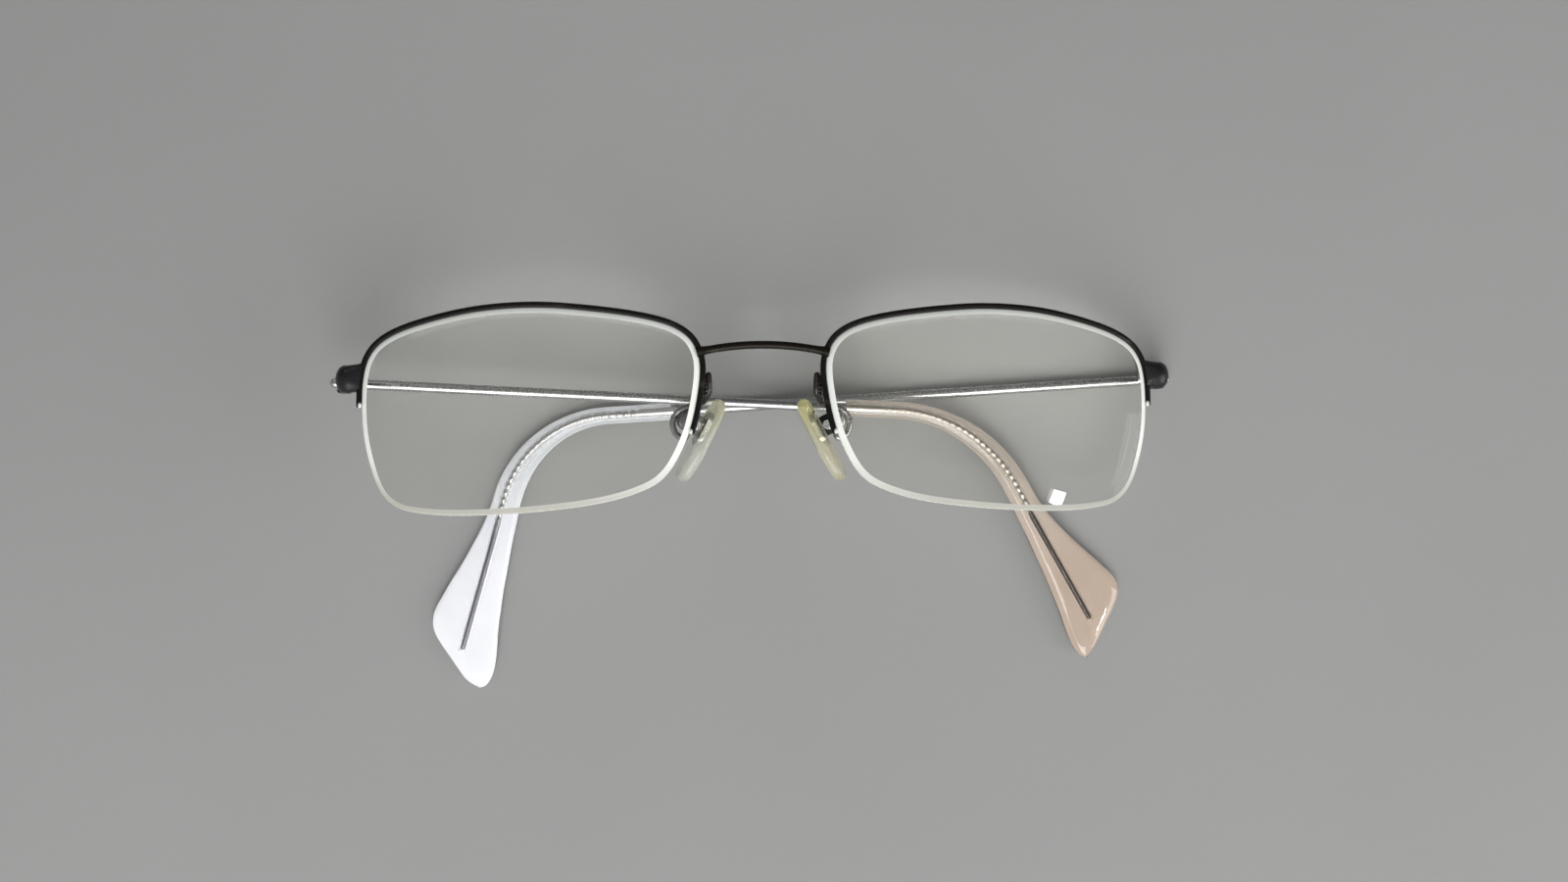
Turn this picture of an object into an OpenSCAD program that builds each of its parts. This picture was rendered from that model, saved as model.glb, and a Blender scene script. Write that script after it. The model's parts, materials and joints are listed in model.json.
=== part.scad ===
// Half-frame eyeglasses, folded, lying on their temples with the lens fronts up.
// Right and left are the wearer's. +X runs to the wearer's left side, +Y to the top of the frame.
// The origin is under the middle of the folded frame, on the surface that it lies on.

/* [Lenses] */
// Width of each lens
lens_w = 51.4; // [48:0.1:56]
// Height of each lens
lens_h = 31.6; // [28:0.1:36]
// Gap between the two lenses at the nose
lens_gap = 19.6; // [17:0.1:23]
// Thickness of each lens
lens_t = 2; // [1.8:0.1:3]
// Radius of the front surface of each lens
lens_front_r = 132; // [100:1:200]
// Angle by which each eye turns back towards its temple
wrap_angle = 4; // [0:0.5:6]
// Width of the groove in the lens edge and in the rim
groove_w = 0.8; // [0.7:0.05:1]
// Depth of the groove in the lens edge
groove_depth = 0.5; // [0.4:0.05:0.8]
// Radius of the nylon cord under each lens
cord_r = 0.3; // [0.25:0.01:0.34]

/* [Front] */
// Thickness of the half rim, seen from the front
rim_t = 0.85; // [0.7:0.05:1.4]
// Depth of the half rim from front to back
rim_depth = 1.9; // [1.6:0.1:2.6]
// Depth of the liner groove inside the rim
rim_groove_depth = 0.4; // [0.3:0.05:0.5]
// Radius of the bridge wire
bridge_r = 0.62; // [0.5:0.02:1]
// Height of the bridge ends above the middle of the lenses
bridge_y = 9; // [6:0.1:10]
// Rise of the bridge between its ends
bridge_rise = 1.25; // [0.6:0.1:3]
// Height of the end piece beside the rim, top to bottom
lug_h = 4.6; // [3.4:0.1:5]
// Height of the end piece at its outer end
lug_end_h = 3.5; // [3.1:0.1:4]
// Thickness of the end piece
lug_t = 1.4; // [1.1:0.1:2]
// Reach of the end piece beyond the rim
lug_reach = 3.7; // [3:0.1:6]
// Height of the end piece above the middle of the lenses
lug_y = 5.6; // [4:0.1:7]
// How much higher the left end piece is brazed than the right one
lug_skew = 0.5; // [0:0.05:0.6]

/* [Hinges] */
// Radius of the hinge knuckles
knuckle_r = 1.25; // [1.15:0.05:1.6]
// Height of the whole hinge barrel
barrel_h = 3.1; // [3:0.1:5]
// Distance of the hinge axis behind the rim
hinge_back = 10.4; // [10:0.1:13]
// Radius of the hinge screw
hinge_screw_r = 0.7; // [0.5:0.05:0.8]
// Length of the temple's heel past the hinge axis
heel = 2.3; // [2:0.1:3]

/* [Temples] */
// Whole length of the right temple along its bends
right_temple_l = 143.1; // [135:0.1:155]
// Whole length of the left temple along its bends
left_temple_l = 145.3; // [135:0.1:155]
// Radius of the temple wire
wire_r = 0.8; // [0.6:0.05:1]
// Length of the bare temple wire, from the hinge to the tip
bare_l = 79.8; // [60:0.1:84]
// Slope of the right temple below the top line of the frame
right_slope_angle = 2.9; // [0:0.1:6]
// Slope of the left temple below the top line of the frame
left_slope_angle = 3.5; // [0:0.1:6]
// Length to the bend of the right temple
right_bend_start = 88.2; // [86:0.1:100]
// Radius of the bend of the right temple
right_bend_r = 23.6; // [14:0.1:28]
// Angle of the bend of the right temple
right_bend_angle = 57.8; // [30:0.1:75]
// Length to the bend of the left temple
left_bend_start = 90.9; // [86:0.1:100]
// Radius of the bend of the left temple
left_bend_r = 18.8; // [14:0.1:28]
// Angle of the bend of the left temple
left_bend_angle = 70.5; // [30:0.1:75]

/* [Temple tips] */
// Thickness of the tips
tip_t = 2.8; // [2.4:0.1:3.6]
// Half height of the tip where it takes the wire
sleeve_r = 1.45; // [1.3:0.05:2]
// Length of the flared end of the right tip
right_flare_l = 26.9; // [24:0.1:34]
// Reach of the right tip's flare behind the core wire
right_flare_rise = 7; // [4:0.1:9]
// Reach of the right tip's flare in front of the core wire
right_flare_drop = 4.7; // [4:0.1:7]
// Length of the flared end of the left tip
left_flare_l = 30; // [24:0.1:34]
// Reach of the left tip's flare behind the core wire
left_flare_rise = 6.2; // [4:0.1:9]
// Reach of the left tip's flare in front of the core wire
left_flare_drop = 6; // [4:0.1:7]
// Radius of the core wire inside the tip
core_r = 0.6; // [0.4:0.05:0.65]
// Distance from the end of the core wire to the end of the tip
core_short = 5.3; // [4:0.1:12]

/* [Nose pads] */
// Length of each nose pad
pad_l = 14.4; // [12:0.1:16]
// Width of each nose pad
pad_w = 6.8; // [6:0.1:7.4]
// Thickness of each nose pad
pad_t = 2.2; // [1.8:0.1:2.6]
// Distance of each pad's middle from the middle of the nose
pad_x = 9.5; // [8.5:0.1:11]
// Height of each pad's middle below the middle of the lenses
pad_drop = 4.5; // [3:0.1:7]
// Distance of each pad's middle behind the rim
pad_back = 5.4; // [5:0.1:5.6]
// Tilt of the pads, closer together at the top
pad_tilt_angle = 27.5; // [15:0.5:35]
// Splay of the pads, closer together at the front
pad_splay_angle = 15; // [0:1:25]
// Radius of the pad arm wire
arm_r = 0.5; // [0.4:0.05:0.6]
// Radius of the pad screw
pad_screw_r = 0.45; // [0.35:0.05:0.5]
// Angle that a pad rocks each way on its screw
pad_rock_angle = 8; // [2:1:10]

/* [Fits] */
// Radial clearance of a turning joint
run_gap = 0.04; // [0.02:0.01:0.08]
// Clearance between pieces that seat on each other
seat_gap = 0.03; // [0.02:0.01:0.06]

/* [Hidden] */
$fn = 48;
// Facets of the large lens spheres
sphere_fn = 200;
// Steps of the lens outline between two of its points
outline_steps = 5;
// Sides of the swept tubes and of the tips
tube_sides = 10;
tip_sides = 18;
pad_sides = 28;
// A direction that no tube starts along
tube_first_side = [0.02, 0.03, 1];
// Overlap of parts of one solid
overlap = 0.1;

// Lens outline, from the nose over the top and back under, as shares of half the width and height
lens_outline = [
    [-1.000, 0.40], [-0.965, 0.64], [-0.870, 0.79], [-0.700, 0.885], [-0.420, 0.955],
    [-0.050, 1.000], [0.300, 0.965], [0.620, 0.855], [0.830, 0.730], [0.945, 0.570],
    [0.995, 0.320], [1.000, -0.100], [0.965, -0.450], [0.900, -0.750], [0.800, -0.910],
    [0.650, -0.970], [0.400, -0.990], [0.000, -0.960], [-0.400, -0.880], [-0.660, -0.760],
    [-0.800, -0.610], [-0.900, -0.340], [-0.965, -0.020]
];
outline_n = len(lens_outline);
// Ends of the rim as shares of the way round the outline, and how far in the cord and the liner stop
rim_nose_share = -0.0674;
rim_temple_share = 0.463;
cord_hole_share = 0.0087;
liner_short_share = 0.024;
rim_nose_end = rim_nose_share * outline_n;
rim_temple_end = rim_temple_share * outline_n;
cord_hole_in = cord_hole_share * outline_n;
liner_short = liner_short_share * outline_n;
// Shares of one outline step at which the cord turns from its hole into the groove
cord_turn_share = [0.02, 0.07, 0.2];
cord_turn_in = 0.12;
cord_steps = 52;

// Middle surface of the lens, which the rim, groove and cord follow
mid_r = lens_front_r - lens_t / 2;
// Drop of that surface from the front of the lens to the nose edge
edge_drop = lens_t / 2 + pow(lens_w / 2, 2) / (2 * mid_r);
eye_x = lens_gap / 2 + lens_w / 2 * cos(wrap_angle) + edge_drop * sin(wrap_angle);
eye_z = edge_drop * cos(wrap_angle) - lens_w / 2 * sin(wrap_angle);
rim_in = seat_gap;
rim_out = rim_in + rim_t;
liner_w = groove_w - 4 * seat_gap;
liner_in = seat_gap - groove_depth;
liner_out = rim_in + rim_groove_depth - seat_gap;
cord_in = cord_r + seat_gap - groove_depth;
cord_tail = 0.25;

// Outer edge of the rim beside the end piece
rim_edge_x = eye_x + (lens_w / 2 + rim_out) * cos(wrap_angle) - edge_drop * sin(wrap_angle);
rim_edge_z = eye_z - (lens_w / 2 + rim_out) * sin(wrap_angle) - edge_drop * cos(wrap_angle);
lug_x = rim_edge_x + lug_reach;
lug_front = rim_edge_z + rim_depth / 2;
lug_corner = 2.2;
lug_round = 1.3;
lug_root_round = 0.6;
lug_root = 1.6;
leaf_t = 0.5;
leaf_w = 1.4;
heel_room = 0.15;
screw_head_lip = 0.4;

// Hinge, one knuckle of the temple between two of the front leaf
hinge_x = lug_x;
// Lower edge of each end piece, and its hinge behind the middle of the outer end
function lug_low(s) = lug_y - lug_h / 2 + s * lug_skew / 2;
function hinge_y(s) = lug_low(s) + lug_end_h / 2;
heel_sweep = sqrt(pow(heel, 2) + pow(wire_r, 2)) + heel_room;
leaf_back = -hinge_back + heel_sweep;
lug_back = leaf_back + leaf_t + seat_gap;
// The sloping heel clears the knuckles beside it as it swings between them
knuckle_gap = wire_r + heel * sin(max(right_slope_angle, left_slope_angle)) + run_gap;
knuckle_half = knuckle_gap - run_gap;
screw_head_r = hinge_screw_r + screw_head_lip;
screw_head_t = 0.5;
screw_slot = 0.25;

// Each temple: bend start, radius and angle, whole length, its flare's length, rise and drop, and slope
right_way = [right_bend_start, right_bend_r, right_bend_angle, right_temple_l,
    right_flare_l, right_flare_rise, right_flare_drop, right_slope_angle];
left_way = [left_bend_start, left_bend_r, left_bend_angle, left_temple_l,
    left_flare_l, left_flare_rise, left_flare_drop, left_slope_angle];

// The frame lies on the low hinge, on the left tip and on the right tip
paddle_t = tip_t - 0.2;
// Share of the flare over which its end rounds off, and the share of its thickness left there
end_round = 0.09;
end_share = 0.35;
// Least width of a tip at its very end
end_least = 0.4;
// Length and share of the rounding at the mouth of the tip
mouth_round = 0.35;
mouth_share = 0.12;
hole_spare = 0.3;
// Length of the core wire that starts inside the thick wire
core_root = 1;
// Least length between the last ring of the bend and the first of the flare
ring_gap = 0.6;
bend_steps = 10;
core_steps = 12;
front_tilt_angle = 4.2;
low_axis_h = knuckle_r;
front_h = low_axis_h + hinge_x * sin(front_tilt_angle) + hinge_back * cos(front_tilt_angle);
high_axis_h = low_axis_h + 2 * hinge_x * sin(front_tilt_angle);
left_fold_angle = front_tilt_angle - asin((tip_t / 2 - low_axis_h) / bare_l);
// Point of the right tip that meets the surface: its height on the flare and its share of the flare
touch_share = 0.3;
touch_rise_share = 0.28;
right_touch = tip_spot(right_way, right_temple_l - touch_share * right_flare_l,
    touch_rise_share * right_flare_rise);
right_fold_angle = asin((high_axis_h - paddle_t / 2) / right_touch[0]) - front_tilt_angle;

// Nose pad and what holds it, in the pad's own frame: x away from the nose, y up, z to the front
lug_up = 1.8;
rock_back = 1.2;
rock_x = pad_t / 2 + rock_back;
box_wall = 0.5;
box_half_h = 1.6;
box_side_wall = 0.4;
pocket_half_h = box_half_h - box_side_wall;
tab_half_t = 0.55;
tab_r = 1.0;
tab_room = 0.1;
neck_half_h = 0.8;
pocket_half_t = tab_half_t + run_gap;
box_half_t = pocket_half_t + box_wall;
// The pad rocks until its back would meet the front of the box
box_front = pad_t / 2 + box_half_h * sin(pad_rock_angle) + tab_room;
box_back = rock_x + tab_r + tab_room + box_wall;
plate_t = 0.6;
plate_half_l = 3;
plate_half_w = 1.7;
plate_x = 0.1;
pad_head_lip = 0.3;
pad_head_r = pad_screw_r + pad_head_lip;
pad_head_t = 0.35;
// Wire of the pad arm, from the rim down and round behind the lens, in the front's own frame
arm_start_y = 5.6;
arm_down = [[-0.05, -1.4, -0.05], [0.05, -2.8, -0.5], [1, -4.1, -2.2]];
arm_loop = [[11.2, 0.9, -4.3], [13.2, 0, -5], [14, -1.6, -5.1], [13.5, -3.4, -5]];
arm_front = -0.7;
arm_foot = 1;
arm_steps = 4;
arm_end_gap = 0.08;

// Bounds of the folded frame, which set the origin
x_shift = hinge_back * sin(front_tilt_angle);
top_y = lens_h / 2 + rim_out;
low_point_share = 0.7;
left_end = tip_spot(left_way, left_temple_l, -low_point_share * left_flare_rise);
bottom_y = hinge_y(1) - left_end[1] * cos(left_slope_angle) - left_end[0] * sin(left_slope_angle);
mid_y = (top_y + bottom_y) / 2;

// Smooth closed curve through a list of points, at place t along it
function curve_point(pts, t) =
    let (n = len(pts), i = floor(t), f = t - i,
        a = pts[(i - 1 + 2 * n) % n], b = pts[(i + 2 * n) % n],
        c = pts[(i + 1 + 2 * n) % n], d = pts[(i + 2 + 2 * n) % n])
    0.5 * (2 * b + (c - a) * f + (2 * a - 5 * b + 4 * c - d) * f * f + (3 * b - a - 3 * c + d) * f * f * f);

// Smooth open curve through a list of points, at place t along it
function route_point(pts, t) =
    let (n = len(pts), i = min(floor(t), n - 2), f = t - i,
        b = pts[i], c = pts[i + 1],
        a = i > 0 ? pts[i - 1] : 2 * b - c,
        d = i < n - 2 ? pts[i + 2] : 2 * c - b)
    0.5 * (2 * b + (c - a) * f + (2 * a - 5 * b + 4 * c - d) * f * f + (3 * b - a - 3 * c + d) * f * f * f);

function route(pts, steps) = [for (k = [0 : (len(pts) - 1) * steps]) route_point(pts, k / steps)];

function unit(v) = v / norm(v);

// Point of the lens outline at place t, moved outwards by d
function edge_point(t, d) =
    let (size = [lens_w / 2, lens_h / 2], step = 0.05,
        p = curve_point(lens_outline, t),
        q = curve_point(lens_outline, t + step) - curve_point(lens_outline, t - step),
        along = unit([q[0] * size[0], q[1] * size[1]]))
    [p[0] * size[0] - along[1] * d, p[1] * size[1] + along[0] * d];

// Place on the middle surface of the lens
function on_lens(p) = [p[0], p[1], sqrt(pow(mid_r, 2) - pow(p[0], 2) - pow(p[1], 2)) - lens_front_r];

function span(a, b, n) = [for (k = [0 : n]) a + (b - a) * k / n];

// Temple line w in its own plane, s along it: distance out, drop and heading
function bend_end(w) = w[0] + w[1] * w[2] * PI / 180;
function temple_at(w, s) =
    let (turn = s < w[0] ? 0 : min((s - w[0]) / w[1] * 180 / PI, w[2]),
        rest = max(s - bend_end(w), 0))
    [min(s, w[0]) + w[1] * sin(turn) + rest * cos(turn), w[1] * (1 - cos(turn)) + rest * sin(turn), turn];

// Point beside that line, moved by q to its outer side
function tip_spot(w, s, q) =
    let (p = temple_at(w, s))
    [p[0] + q * sin(p[2]), p[1] - q * cos(p[2])];

// Outer and inner edges of a tip at distance e from its end, as shares of the flare
flare_outer = [[0, -0.75], [0.02, -0.36], [0.065, -0.05], [0.12, 0.27], [0.165, 0.54], [0.215, 0.8],
    [0.26, 0.94], [0.31, 1], [0.365, 0.985], [0.43, 0.91], [0.51, 0.81], [0.62, 0.655], [0.75, 0.5],
    [0.87, 0.38], [1, 0.3]];
flare_inner = [[0, 0.75], [0.02, 0.88], [0.06, 0.97], [0.12, 1], [0.22, 0.935], [0.32, 0.83],
    [0.44, 0.735], [0.56, 0.657], [0.68, 0.6], [0.8, 0.54], [0.9, 0.505], [1, 0.47]];
flare_steps = [1, 0.92, 0.833, 0.75, 0.667, 0.58, 0.5, 0.45, 0.4, 0.36, 0.32, 0.29, 0.27, 0.24, 0.21,
    0.17, 0.13, 0.1, 0.07, 0.045, 0.025, 0.01, 0];
function sleeve_half(w, s, whole) = sleeve_r + (whole - sleeve_r) * max(s - w[0], 0)
    / (w[3] - w[4] - w[0]);
function tip_edges(w, s) =
    let (e = (w[3] - s) / w[4], rise = w[5], drop = w[6])
    e >= 1 ? [sleeve_half(w, s, lookup(1, flare_outer) * rise),
            -sleeve_half(w, s, lookup(1, flare_inner) * drop)]
        : [max(lookup(e, flare_outer) * rise, end_least - lookup(e, flare_inner) * drop),
            -lookup(e, flare_inner) * drop];
function tip_half_t(w, s) =
    let (e = (w[3] - s) / w[4],
        full = e >= 1 ? tip_t / 2 : paddle_t / 2 + (tip_t - paddle_t) / 2 * e)
    e > end_round ? full : full * (end_share + (1 - end_share) * sqrt(1 - pow(1 - e / end_round, 2)));

function mouth(s) = 1 - mouth_share * max(0, 1 - (s - bare_l) / mouth_round);

// Rounded ring of a tip about the temple line, squarer on the flare than on the sleeve
flare_power = 0.72;
sleeve_power = 0.9;
function soft(c, power) = sign(c) * pow(abs(c), power);
function tip_ring(w, s) =
    let (edges = tip_edges(w, s), half = (edges[0] - edges[1]) / 2, mid = (edges[0] + edges[1]) / 2,
        power = s > w[3] - w[4] ? flare_power : sleeve_power)
    [for (k = [0 : tip_sides - 1])
        let (a = 360 * k / tip_sides,
            p = tip_spot(w, s, mid + mouth(s) * half * soft(cos(a), power)))
        [p[0], -p[1], mouth(s) * tip_half_t(w, s) * soft(sin(a), power)]];

// Round ring about the temple line, and the places along it that the core wire and its hole share
function wire_ring(w, s, radius) = [
    for (k = [0 : tip_sides - 1])
        let (p = tip_spot(w, s, radius * cos(360 * k / tip_sides)))
        [p[0], -p[1], radius * sin(360 * k / tip_sides)]];
function core_places(w, end) = concat(span(w[0], bend_end(w), core_steps), [end]);

// Closed solid through rings of points, all with as many points, listed turning the same way
module skin(rings) {
    n = len(rings[0]);
    m = len(rings);
    polyhedron(
        points = [for (ring = rings) each ring],
        faces = concat(
            [[for (k = [0 : n - 1]) k]],
            [for (j = [0 : m - 2], k = [0 : n - 1])
                [j * n + k, (j + 1) * n + k, (j + 1) * n + (k + 1) % n]],
            [for (j = [0 : m - 2], k = [0 : n - 1])
                [j * n + k, (j + 1) * n + (k + 1) % n, j * n + (k + 1) % n]],
            [[for (k = [n - 1 : -1 : 0]) (m - 1) * n + k]]));
}

// Round tube along a path, its rings carried on without twist from one point to the next
function carry(path, j, side) =
    let (along = unit(path[min(j + 1, len(path) - 1)] - path[max(j - 1, 0)]))
    unit(side - (side * along) * along);
function tube_sides_at(path, first) = [
    for (j = 0, side = carry(path, 0, first); j < len(path); j = j + 1,
        side = j < len(path) ? carry(path, j, side) : side) side];
module tube(path, r) {
    sides = tube_sides_at(path, tube_first_side);
    skin([for (j = [0 : len(path) - 1])
        let (along = unit(path[min(j + 1, len(path) - 1)] - path[max(j - 1, 0)]),
            up = cross(along, sides[j]))
        [for (k = [0 : tube_sides - 1])
            path[j] + r * (cos(360 * k / tube_sides) * sides[j] + sin(360 * k / tube_sides) * up)]]);
}

// The front stands tilted over the folded temples
module front() {
    translate([x_shift, -mid_y, front_h])
        rotate([0, front_tilt_angle, 0])
            children();
}

// Side 1 is the wearer's left, at +X, and side -1 the wearer's right
module side(s) {
    front()
        mirror([s < 0 ? 1 : 0, 0, 0])
            children();
}

module eye(s) {
    side(s)
        in_eye()
            children();
}

module in_eye() {
    translate([eye_x, 0, eye_z])
        rotate([0, wrap_angle, 0])
            children();
}

// Slice of the lens's curved body, t thick about its middle surface
module curved_slice(t) {
    translate([0, 0, -lens_front_r]) {
        difference() {
            sphere(r = mid_r + t / 2, $fn = sphere_fn);
            sphere(r = mid_r - t / 2, $fn = sphere_fn);
        }
    }
}

module deep() {
    translate([0, 0, -lens_w / 4])
        linear_extrude(height = lens_w / 2)
            children();
}

// Strip along the outline from place a to place b, between two offsets
module strip(a, b, d_in, d_out) {
    places = span(a, b, round((b - a) * outline_steps));
    polygon(concat([for (t = places) edge_point(t, d_out)],
        [for (k = [len(places) - 1 : -1 : 0]) edge_point(places[k], d_in)]));
}

module full_outline(d) {
    polygon([for (t = span(0, outline_n, outline_n * outline_steps)) if (t < outline_n) edge_point(t, d)]);
}

// Route of the nylon cord, from one end of the rim under the lens to the other
function cord_path() =
    let (a = rim_temple_end - cord_hole_in, b = rim_nose_end + cord_hole_in + outline_n,
        out = rim_out + cord_tail, mid = (cord_in + out) / 2, turn = cord_turn_share)
    [for (p = concat(
        [[a, out], [a, rim_out], [a + turn[0], mid], [a + turn[1], cord_in + cord_turn_in]],
        [for (t = span(a + turn[2], b - turn[2], cord_steps)) [t, cord_in]],
        [[b - turn[1], cord_in + cord_turn_in], [b - turn[0], mid], [b, rim_out], [b, out]]))
        on_lens(edge_point(p[0], p[1]))];

module rim_blank(grow) {
    intersection() {
        deep()
            strip(rim_nose_end, rim_temple_end, rim_in, rim_out + grow);
        curved_slice(rim_depth + 2 * grow);
    }
}

module half_rim(s) {
    color([0.05, 0.05, 0.06])
        eye(s)
            difference() {
                rim_blank(0);
                intersection() {
                    deep()
                        strip(rim_nose_end - 1, rim_temple_end + 1, -groove_depth, rim_in + rim_groove_depth);
                    curved_slice(groove_w);
                }
                tube(cord_path(), cord_r + 2 * seat_gap);
            }
}

module lens(s) {
    color([0.85, 0.9, 0.88, 0.4])
        eye(s)
            difference() {
                intersection() {
                    deep()
                        full_outline(0);
                    curved_slice(lens_t);
                }
                intersection() {
                    deep()
                        difference() {
                            full_outline(2 * groove_depth);
                            full_outline(-groove_depth);
                        }
                    curved_slice(groove_w);
                }
            }
}

module rim_liner(s) {
    color([0.92, 0.92, 0.88])
        eye(s)
            intersection() {
                deep()
                    strip(rim_nose_end + liner_short, rim_temple_end - liner_short, liner_in, liner_out);
                curved_slice(liner_w);
            }
}

module lens_cord(s) {
    color([0.95, 0.95, 0.92])
        eye(s)
            tube(cord_path(), cord_r);
}

// Wire arch from rim to rim
module bridge() {
    half_span = lens_gap / 2 + rim_t;
    arch_r = (pow(half_span, 2) + pow(bridge_rise, 2)) / (2 * bridge_rise);
    half_angle = asin(half_span / arch_r);
    color([0.05, 0.05, 0.06])
        front()
            difference() {
                translate([0, bridge_y + bridge_rise - arch_r, 0])
                    rotate([0, 0, 90 - half_angle])
                        rotate_extrude(angle = 2 * half_angle, $fn = 96)
                            translate([arch_r, 0])
                                circle(r = bridge_r);
                for (m = [0, 1])
                    mirror([m, 0, 0])
                        in_eye()
                            deep()
                                full_outline(rim_out + seat_gap);
            }
}

// Bent strip from the rim outwards and back to the hinge
module endpiece(s) {
    root_x = rim_edge_x - lug_root;
    bend = [lug_x - lug_corner, lug_front - lug_corner];
    inner_r = lug_corner - lug_t;
    // Edge, height and corner radius of the end piece, seen from the front, at its two ends
    outer = [lug_x, lug_end_h, lug_round];
    inner = [root_x + lug_h / 2, lug_h, lug_root_round];
    color([0.05, 0.05, 0.06])
        side(s)
            difference() {
                intersection() {
                    translate([0, lug_y + lug_h, 0])
                        rotate([90, 0, 0])
                            linear_extrude(height = 2 * lug_h)
                                polygon(concat(
                                    [[root_x, lug_front]],
                                    [for (a = span(90, 0, 8)) bend + lug_corner * [cos(a), sin(a)]],
                                    [[lug_x, lug_back], [lug_x - lug_t, lug_back]],
                                    [for (a = span(0, 90, 6)) bend + inner_r * [cos(a), sin(a)]],
                                    [[root_x, lug_front - lug_t]]));
                    translate([0, 0, -2 * hinge_back])
                        linear_extrude(height = 3 * hinge_back)
                            hull()
                                for (c = [outer, inner], y = [c[2], c[1] - c[2]])
                                    translate([c[0] - c[2], lug_low(s) + y])
                                        circle(r = c[2], $fn = 32);
                }
                in_eye()
                    deep()
                        full_outline(rim_out + seat_gap);
            }
}

// Fork of two knuckles, brazed to the back of the end piece
module hinge_leaf(s) {
    fork_h = barrel_h / 2 - knuckle_gap;
    color([0.16, 0.16, 0.17])
        side(s)
            difference() {
                union() {
                    translate([lug_x - lug_t, hinge_y(s) - barrel_h / 2, leaf_back])
                        cube([lug_t + leaf_w / 2, barrel_h, leaf_t]);
                    for (y = [-barrel_h / 2, knuckle_gap])
                        translate([0, hinge_y(s) + y, 0]) {
                            translate([hinge_x - leaf_w / 2, 0, -hinge_back])
                                cube([leaf_w, fork_h, leaf_back + hinge_back + leaf_t / 2]);
                            translate([hinge_x, 0, -hinge_back])
                                rotate([-90, 0, 0])
                                    cylinder(r = knuckle_r, h = fork_h);
                        }
                }
                translate([hinge_x, hinge_y(s) - barrel_h, -hinge_back])
                    rotate([-90, 0, 0])
                        cylinder(r = hinge_screw_r + seat_gap, h = 2 * barrel_h);
            }
}

module hinge_screw(s) {
    color([0.3, 0.3, 0.31])
        side(s)
            translate([hinge_x, hinge_y(s), -hinge_back])
                rotate([-90, 0, 0])
                    difference() {
                        union() {
                            translate([0, 0, -barrel_h / 2])
                                cylinder(r = hinge_screw_r, h = barrel_h + seat_gap);
                            translate([0, 0, barrel_h / 2 + seat_gap])
                                cylinder(r = screw_head_r, h = screw_head_t);
                        }
                        translate([-screw_head_r, -screw_slot / 2, barrel_h / 2 + screw_head_t / 2])
                            cube([2 * screw_head_r, screw_slot, screw_head_t]);
                    }
}

// A temple lies along +X in its own frame, with its hinge axis along Y at the origin
module hang_temple(s, fold) {
    side(s)
        translate([hinge_x, hinge_y(s), -hinge_back])
            rotate([0, -fold, 0])
                mirror([1, 0, 0])
                    children();
}

module temple(w) {
    places = concat([bare_l - core_root], core_places(w, w[3] - core_short));
    color([0.06, 0.06, 0.07])
        difference() {
            union() {
                rotate([-90, 0, 0])
                    translate([0, 0, -knuckle_half])
                        cylinder(r = knuckle_r, h = 2 * knuckle_half);
                rotate([0, 0, -w[7]]) {
                    translate([-heel, 0, 0])
                        rotate([0, 90, 0])
                            cylinder(r = wire_r, h = heel + bare_l - seat_gap);
                    skin([for (s = places) wire_ring(w, s, core_r)]);
                }
            }
            rotate([-90, 0, 0])
                translate([0, 0, -barrel_h])
                    cylinder(r = hinge_screw_r + run_gap, h = 2 * barrel_h);
        }
}

// Clear sleeve over the core wire, flared at its end. Its skin runs up the blind hole and back outside
module temple_tip(w) {
    hole = concat([bare_l], core_places(w, w[3] - core_short + hole_spare));
    places = concat([bare_l, bare_l + mouth_round, (bare_l + w[0]) / 2],
        span(w[0], bend_end(w), bend_steps),
        [for (f = flare_steps) let (s = w[3] - f * w[4]) if (s > bend_end(w) + ring_gap) s]);
    color([0.9, 0.87, 0.84, 0.7])
        rotate([0, 0, -w[7]])
            skin(concat(
                [for (k = [len(hole) - 1 : -1 : 0]) wire_ring(w, hole[k], core_r + seat_gap)],
                [for (s = places) tip_ring(w, s)]));
}

// A pad's own frame, with the pad's middle at the origin
module pad_frame(s) {
    side(s)
        translate([pad_x, -pad_drop, -pad_back])
            rotate([0, 0, pad_tilt_angle])
                rotate([0, -pad_splay_angle, 0])
                    children();
}

// Place in the front's frame of a point of the pad's frame
function pad_to_front(p) =
    let (tilt = pad_tilt_angle, splay = pad_splay_angle,
        a = [p[0] * cos(splay) - p[2] * sin(splay), p[1], p[0] * sin(splay) + p[2] * cos(splay)])
    [pad_x + a[0] * cos(tilt) - a[1] * sin(tilt),
        a[0] * sin(tilt) + a[1] * cos(tilt) - pad_drop, a[2] - pad_back];

module pad_insert(grow) {
    translate([plate_x - grow, lug_up, 0])
        rotate([0, 90, 0])
            linear_extrude(height = plate_t + 2 * grow)
                for (y = [-1, 1])
                    translate([0, y * (plate_half_l - plate_half_w)])
                        circle(r = plate_half_w + grow);
    translate([plate_x - grow, lug_up - plate_half_l + plate_half_w, -plate_half_w - grow])
        cube([plate_t + 2 * grow, 2 * (plate_half_l - plate_half_w), 2 * (plate_half_w + grow)]);
    translate([plate_x + plate_t - overlap, lug_up - neck_half_h - grow, -tab_half_t - grow])
        cube([rock_x - plate_x - plate_t + overlap, 2 * (neck_half_h + grow), 2 * (tab_half_t + grow)]);
}

module pad_lug(s) {
    color([0.75, 0.75, 0.72])
        pad_frame(s)
            difference() {
                union() {
                    pad_insert(0);
                    translate([rock_x, lug_up, -tab_half_t])
                        cylinder(r = tab_r, h = 2 * tab_half_t);
                }
                translate([rock_x, lug_up, -box_half_t])
                    cylinder(r = pad_screw_r + run_gap, h = 2 * box_half_t);
            }
}

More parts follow.
